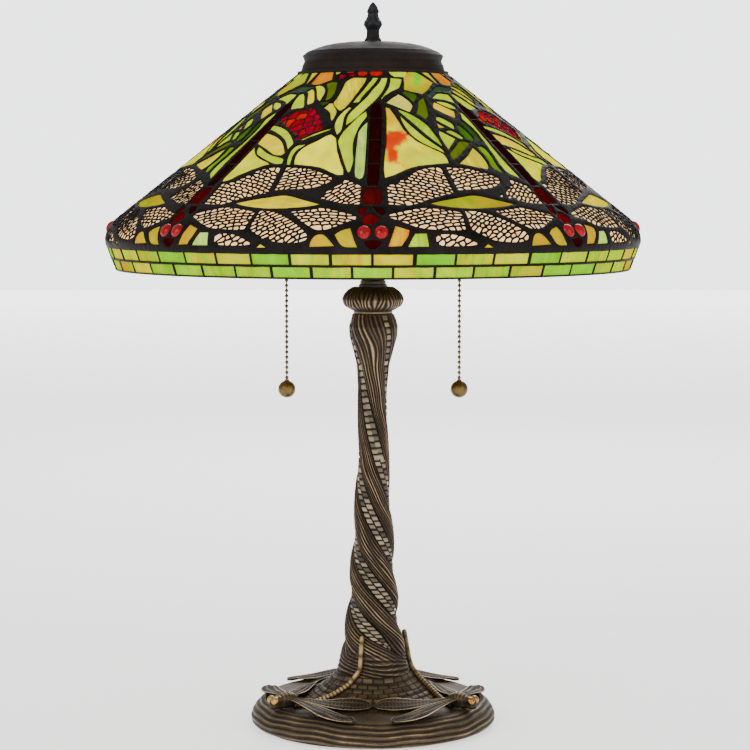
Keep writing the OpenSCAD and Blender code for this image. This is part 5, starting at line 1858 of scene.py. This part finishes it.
@dataclass
class FinialTop:
    """The leafy finial that holds the cap down.

    Args:
        low: Height of its foot.
        high: Height of its tip.
        cols: Points round each ring.
        rows: Rings from foot to tip.
        bore: Radius of the hole for the thread.
        profile: Height and radius, for a finial as high as the last height.
    """

    low: float
    high: float
    cols: int = 96
    rows: int = 110
    bore: float = 3.3
    profile: tuple[Point, ...] = (
        (0, 7.4), (1.5, 7.3), (3.2, 5.9), (6, 5.4), (10, 5.6), (12.3, 7.2), (14.3, 8.4), (16, 8.0),
        (18.6, 6.3), (21, 5.0), (24, 4.5), (25.2, 5.3), (26.6, 5.2), (27.6, 4.9), (29.4, 4.4),
        (31.8, 2.5), (33.4, 0.9), (34, 0.15),
    )

    def make(self, material: bpy.types.Material) -> None:
        """Builds the finial."""
        tall = self.profile[-1][0]
        size = (self.high - self.low) / tall
        z = np.linspace(0, tall, self.rows)[:, None]
        az = np.arange(self.cols)[None] / self.cols * 360 + 0 * z
        turn = np.radians(az)
        base = np.interp(z, *np.array(self.profile).T)
        cup = ease(z, 10.5, 13) * (1 - ease(z, 22, 25))
        tip = ease(z, 25.5, 28)
        leaves = crest(8 * az / 360 + 0.5 * (z > 16.4)) * (1 - 0.4 * crest(z / 3.4))
        facets = 1 - 0.1 * tip * np.abs(np.sin(3 * turn))
        stripes = 0.12 * crest(16 * az / 360) * (1 - cup) * (1 - tip)
        r = base * facets + cup * (0.75 * leaves - 0.5) + stripes
        relief = 0.15 + 0.55 * cup * leaves + 0.25 * tip + 0 * r
        inner = np.array([[0.05, 33.6], [self.bore, 12.6], [self.bore, 0]])
        rest = np.ones((3, self.cols))
        piece = turned("leafy_finial", size * np.concatenate([r, inner[:, :1] * rest]),
                       self.low + size * np.concatenate([z + 0 * r, inner[:, 1:] * rest]),
                       np.concatenate([az, az[:3]]), np.concatenate([relief, 0 * rest]))
        Place("finial", ("finial",), "dark_bronze").put(piece, material)


# ---------------------------------------------------------------- finishes and the studio


@dataclass
class Palette:
    """Every finish of the lamp, made once."""

    glass: dict[Glass, bpy.types.Material] = field(default_factory=dict)

    def __post_init__(self) -> None:
        """Makes the materials."""
        # Each glass finish's glow is painted light that stands in for light shining through the glass. The
        # wing glass gets the most, then the field and swirled glass.
        sheet = GlassFinish("opalescent_glass", glow=0.34).make()
        dark = GlassFinish("dark_streaky_glass", streak=0.7, glow=0.04, value=0.6).make()
        small = GlassFinish("wing_glass", 0.5, 1.0, 0.3, 0.3, 1.6, 1.02).make()
        bright = GlassFinish("bright_swirled_glass", glow=0.45, richness=2.2, value=0.9).make()
        self.glass = {kind: sheet for kind in Glass}
        self.glass[Glass.FIELD] = self.glass[Glass.SWIRL] = bright
        self.glass[Glass.TAIL] = self.glass[Glass.BODY] = dark
        self.glass[Glass.UPPER_WING] = self.glass[Glass.LOWER_WING] = small
        self.gem = GemFinish("red_gem_glass", linear("96020a"), linear("4a0208")).make()
        self.solder = MetalFinish("dark_patina_solder", linear("0f0d0c"), linear("201c1b"), 0.5, 0.1,
                                  0.05, 0.5, 0.6, 0.04).make()
        self.bronze = ReliefFinish("antique_bronze", linear("1b130c"), linear("574531"),
                                   linear("a58c66")).make()
        self.base_bronze = ReliefFinish("antique_bronze_foot", linear("20180f"), linear("5c4b33"),
                                        linear("b39866")).make()
        self.rubbed = ReliefFinish("rubbed_bronze", linear("1e150c"), linear("5f4a2d"),
                                   linear("b89a66")).make()
        self.black_relief = ReliefFinish("blackened_bronze", linear("141415"), linear("2b2b2d"),
                                         linear("4c4d50")).make()
        self.cap = MetalFinish("brown_patina", linear("130e0b"), linear("241b16"), 0.6, 0.0, 0.05, 0.8,
                               0.3, 0.1).make()
        self.black = MetalFinish("dark_bronze", linear("1a1513"), linear("2a211d"), 0.4, 0.3).make()
        self.gilt = MetalFinish("gilt", linear("8a6430"), linear("c79c58"), 0.3).make()
        self.brass = MetalFinish("antique_brass", linear("4a3a24"), linear("77603a"), 0.34).make()
        self.socket = MetalFinish("socket_brass", linear("8c7038"), linear("b3934f"), 0.28).make()
        self.iron = MetalFinish("cast_iron", linear("2c2b2a"), linear("45423f"), 0.6, 0.8).make()
        self.plated = MetalFinish("plated_steel", linear("b4b4b0"), linear("8d8c88"), 0.28).make()
        self.threaded = MetalFinish("nickel_plating", linear("c9c4b8"), linear("a39d90"), 0.25).make()
        self.plastic = DullFinish("dark_plastic", linear("151515"), linear("24211f"), 0.45, 0.3).make()
        self.card = DullFinish("fibre_card", linear("b39c72"), linear("8f7a55"), 0.85, 0.8).make()
        self.felt = DullFinish("green_felt", linear("1f3b28"), linear("2d5238"), 0.95, 1.6, 0.4, 0.6).make()
        self.connector = DullFinish("wire_connector", linear("b5a27a"), linear("96825a"), 0.5, 0.4).make()
        self.bulb = DullFinish("frosted_bulb", linear("f4efe4"), linear("e6dfd0"), 0.25, 0.05, 0.05).make()


@dataclass
class Studio:
    """The camera, the soft lights and the pale floor.

    Args:
        far: The camera's distance from the lamp's axis, in metres.
        lens: Its focal length in millimetres.
        height: Its height in metres.
        pitch: How far it looks down, in degrees.
        aside: How far it stands to the right of the axis, in metres.
    """

    far: float = 1.955
    lens: float = 107.5
    height: float = 0.477
    pitch: float = 4.93
    aside: float = 0.00175

    def camera(self) -> None:
        """Makes the camera."""
        data = bpy.data.cameras.new("camera")
        data.lens, data.sensor_width = self.lens, 36
        camera = bpy.data.objects.new("camera", data)
        camera.location = (self.aside, -self.far, self.height)
        camera.rotation_euler = (math.radians(90 - self.pitch), 0, 0)
        bpy.context.scene.collection.objects.link(camera)
        bpy.context.scene.camera = camera

    @staticmethod
    def lamp(name: str, where: Sequence[float], size: float, power: float, target: Sequence[float]) -> None:
        """Makes one large soft light that faces a point."""
        data = bpy.data.lights.new(name, "AREA")
        data.shape, data.size, data.energy = "DISK", size, power
        light = bpy.data.objects.new(name, data)
        light.location = where
        light.rotation_euler = (Vector(target) - Vector(where)).to_track_quat("-Z", "Y").to_euler()
        bpy.context.scene.collection.objects.link(light)

    def floor(self) -> None:
        """Makes the pale floor under the lamp."""
        deselect()
        bpy.ops.mesh.primitive_plane_add(size=16, location=(0, 0, 0))
        floor = bpy.context.object
        floor.name = "floor"
        n = NodeTree("pale_floor")
        cloud = n.noise(n.add("TexCoord").outputs["Object"], 0.8, 3)
        n.set(Base_Color=n.ramp(cloud, (0.3, 0.9), (0.7, 0.93)), Roughness=0.85, Specular_IOR_Level=0.1)
        far = n.add("SeparateXYZ", {0: n.add("TexCoord").outputs["Object"]}).outputs[1]
        n.set(Emission_Color=(1.0, 1.0, 1.0))
        n.set(Emission_Strength=n.add("MapRange", {0: far, 1: 0.0, 2: 7.0, 3: 1.0, 4: 3.05}).outputs[0])
        dress(floor, n.material)

    def make(self) -> None:
        """Sets up the whole studio."""
        self.camera()
        self.floor()
        centre = (0, 0, 0.36)
        self.lamp("key", (-1.3, -1.7, 1.5), 1.6, 26, centre)
        self.lamp("fill", (1.7, -1.5, 0.9), 1.8, 16, centre)
        self.lamp("front", (0.1, -2.3, 0.75), 1.5, 8, centre)
        self.lamp("back", (0.3, 1.8, 1.6), 1.6, 30, centre)
        world = bpy.data.worlds.new("studio")
        world.use_nodes = True
        nodes, links = world.node_tree.nodes, world.node_tree.links
        split = nodes.new("ShaderNodeSeparateXYZ")
        links.new(nodes.new("ShaderNodeTexCoord").outputs["Generated"], split.inputs[0])
        ramp = nodes.new("ShaderNodeMapRange")
        for key, value in (("From Min", 0.93), ("From Max", 0.965), ("To Min", 0.66), ("To Max", 3.2)):
            ramp.inputs[key].default_value = value
        links.new(split.outputs["Y"], ramp.inputs["Value"])
        links.new(ramp.outputs[0], nodes["Background"].inputs[1])
        nodes["Background"].inputs[0].default_value = (0.97, 0.98, 1.0, 1)
        bpy.context.scene.world = world


def dress_nodes(look: Palette) -> None:
    """Gives every CAD node that still shows its finish."""
    finish = {
        "felt": look.felt, "bronze_casting": look.bronze, "rubbed_bronze": look.rubbed, "gilt": look.gilt,
        "iron": look.iron, "plated_steel": look.plated, "plain_brass": look.brass,
        "dark_plastic": look.plastic, "dark_bronze": look.black, "connector": look.connector,
        "socket_brass": look.socket, "card": look.card, "bulb_glass": look.bulb,
        "bulb_base": look.threaded, "chain_brass": look.brass, "solder": look.solder,
        "cabochon": look.gem,
    }
    for part in frame["record"]["subparts"]:
        node = frame["nodes"][part["node"]]
        cover = part["node"] in ("vented_cap", "shade_top_ring")
        dress(node, look.cap if cover else finish.get(part["material_slot"], look.black))


def make_stand(look: Palette) -> None:
    """Builds the cast stand and the finial over their CAD nodes."""
    low, high = node_box("trunk_casting")
    trunk = Trunk(low.z, high.z, 32.8)
    trunk.make(look.bronze)
    foot = Foot()
    foot.make(look.base_bronze)
    Ornament(foot, trunk).make(look.base_bronze, look.rubbed)
    low, high = node_box("neck_knob")
    Knob(low.z, high.z, high.x).make(look.bronze)
    low, high = node_box("finial")
    FinialTop(low.z, high.z).make(look.black_relief)


def main() -> None:
    """Builds the lamp's looks and the studio."""
    logging.basicConfig(level=logging.INFO, format="%(message)s")
    look = Palette()
    dress_nodes(look)
    Studio().make()
    make_stand(look)
    LeadedShade(Meridian(rim_z=node_box("lower_skirt_bricks")[0].z - 1.6)).make(look)


if __name__ == "__main__":
    main()
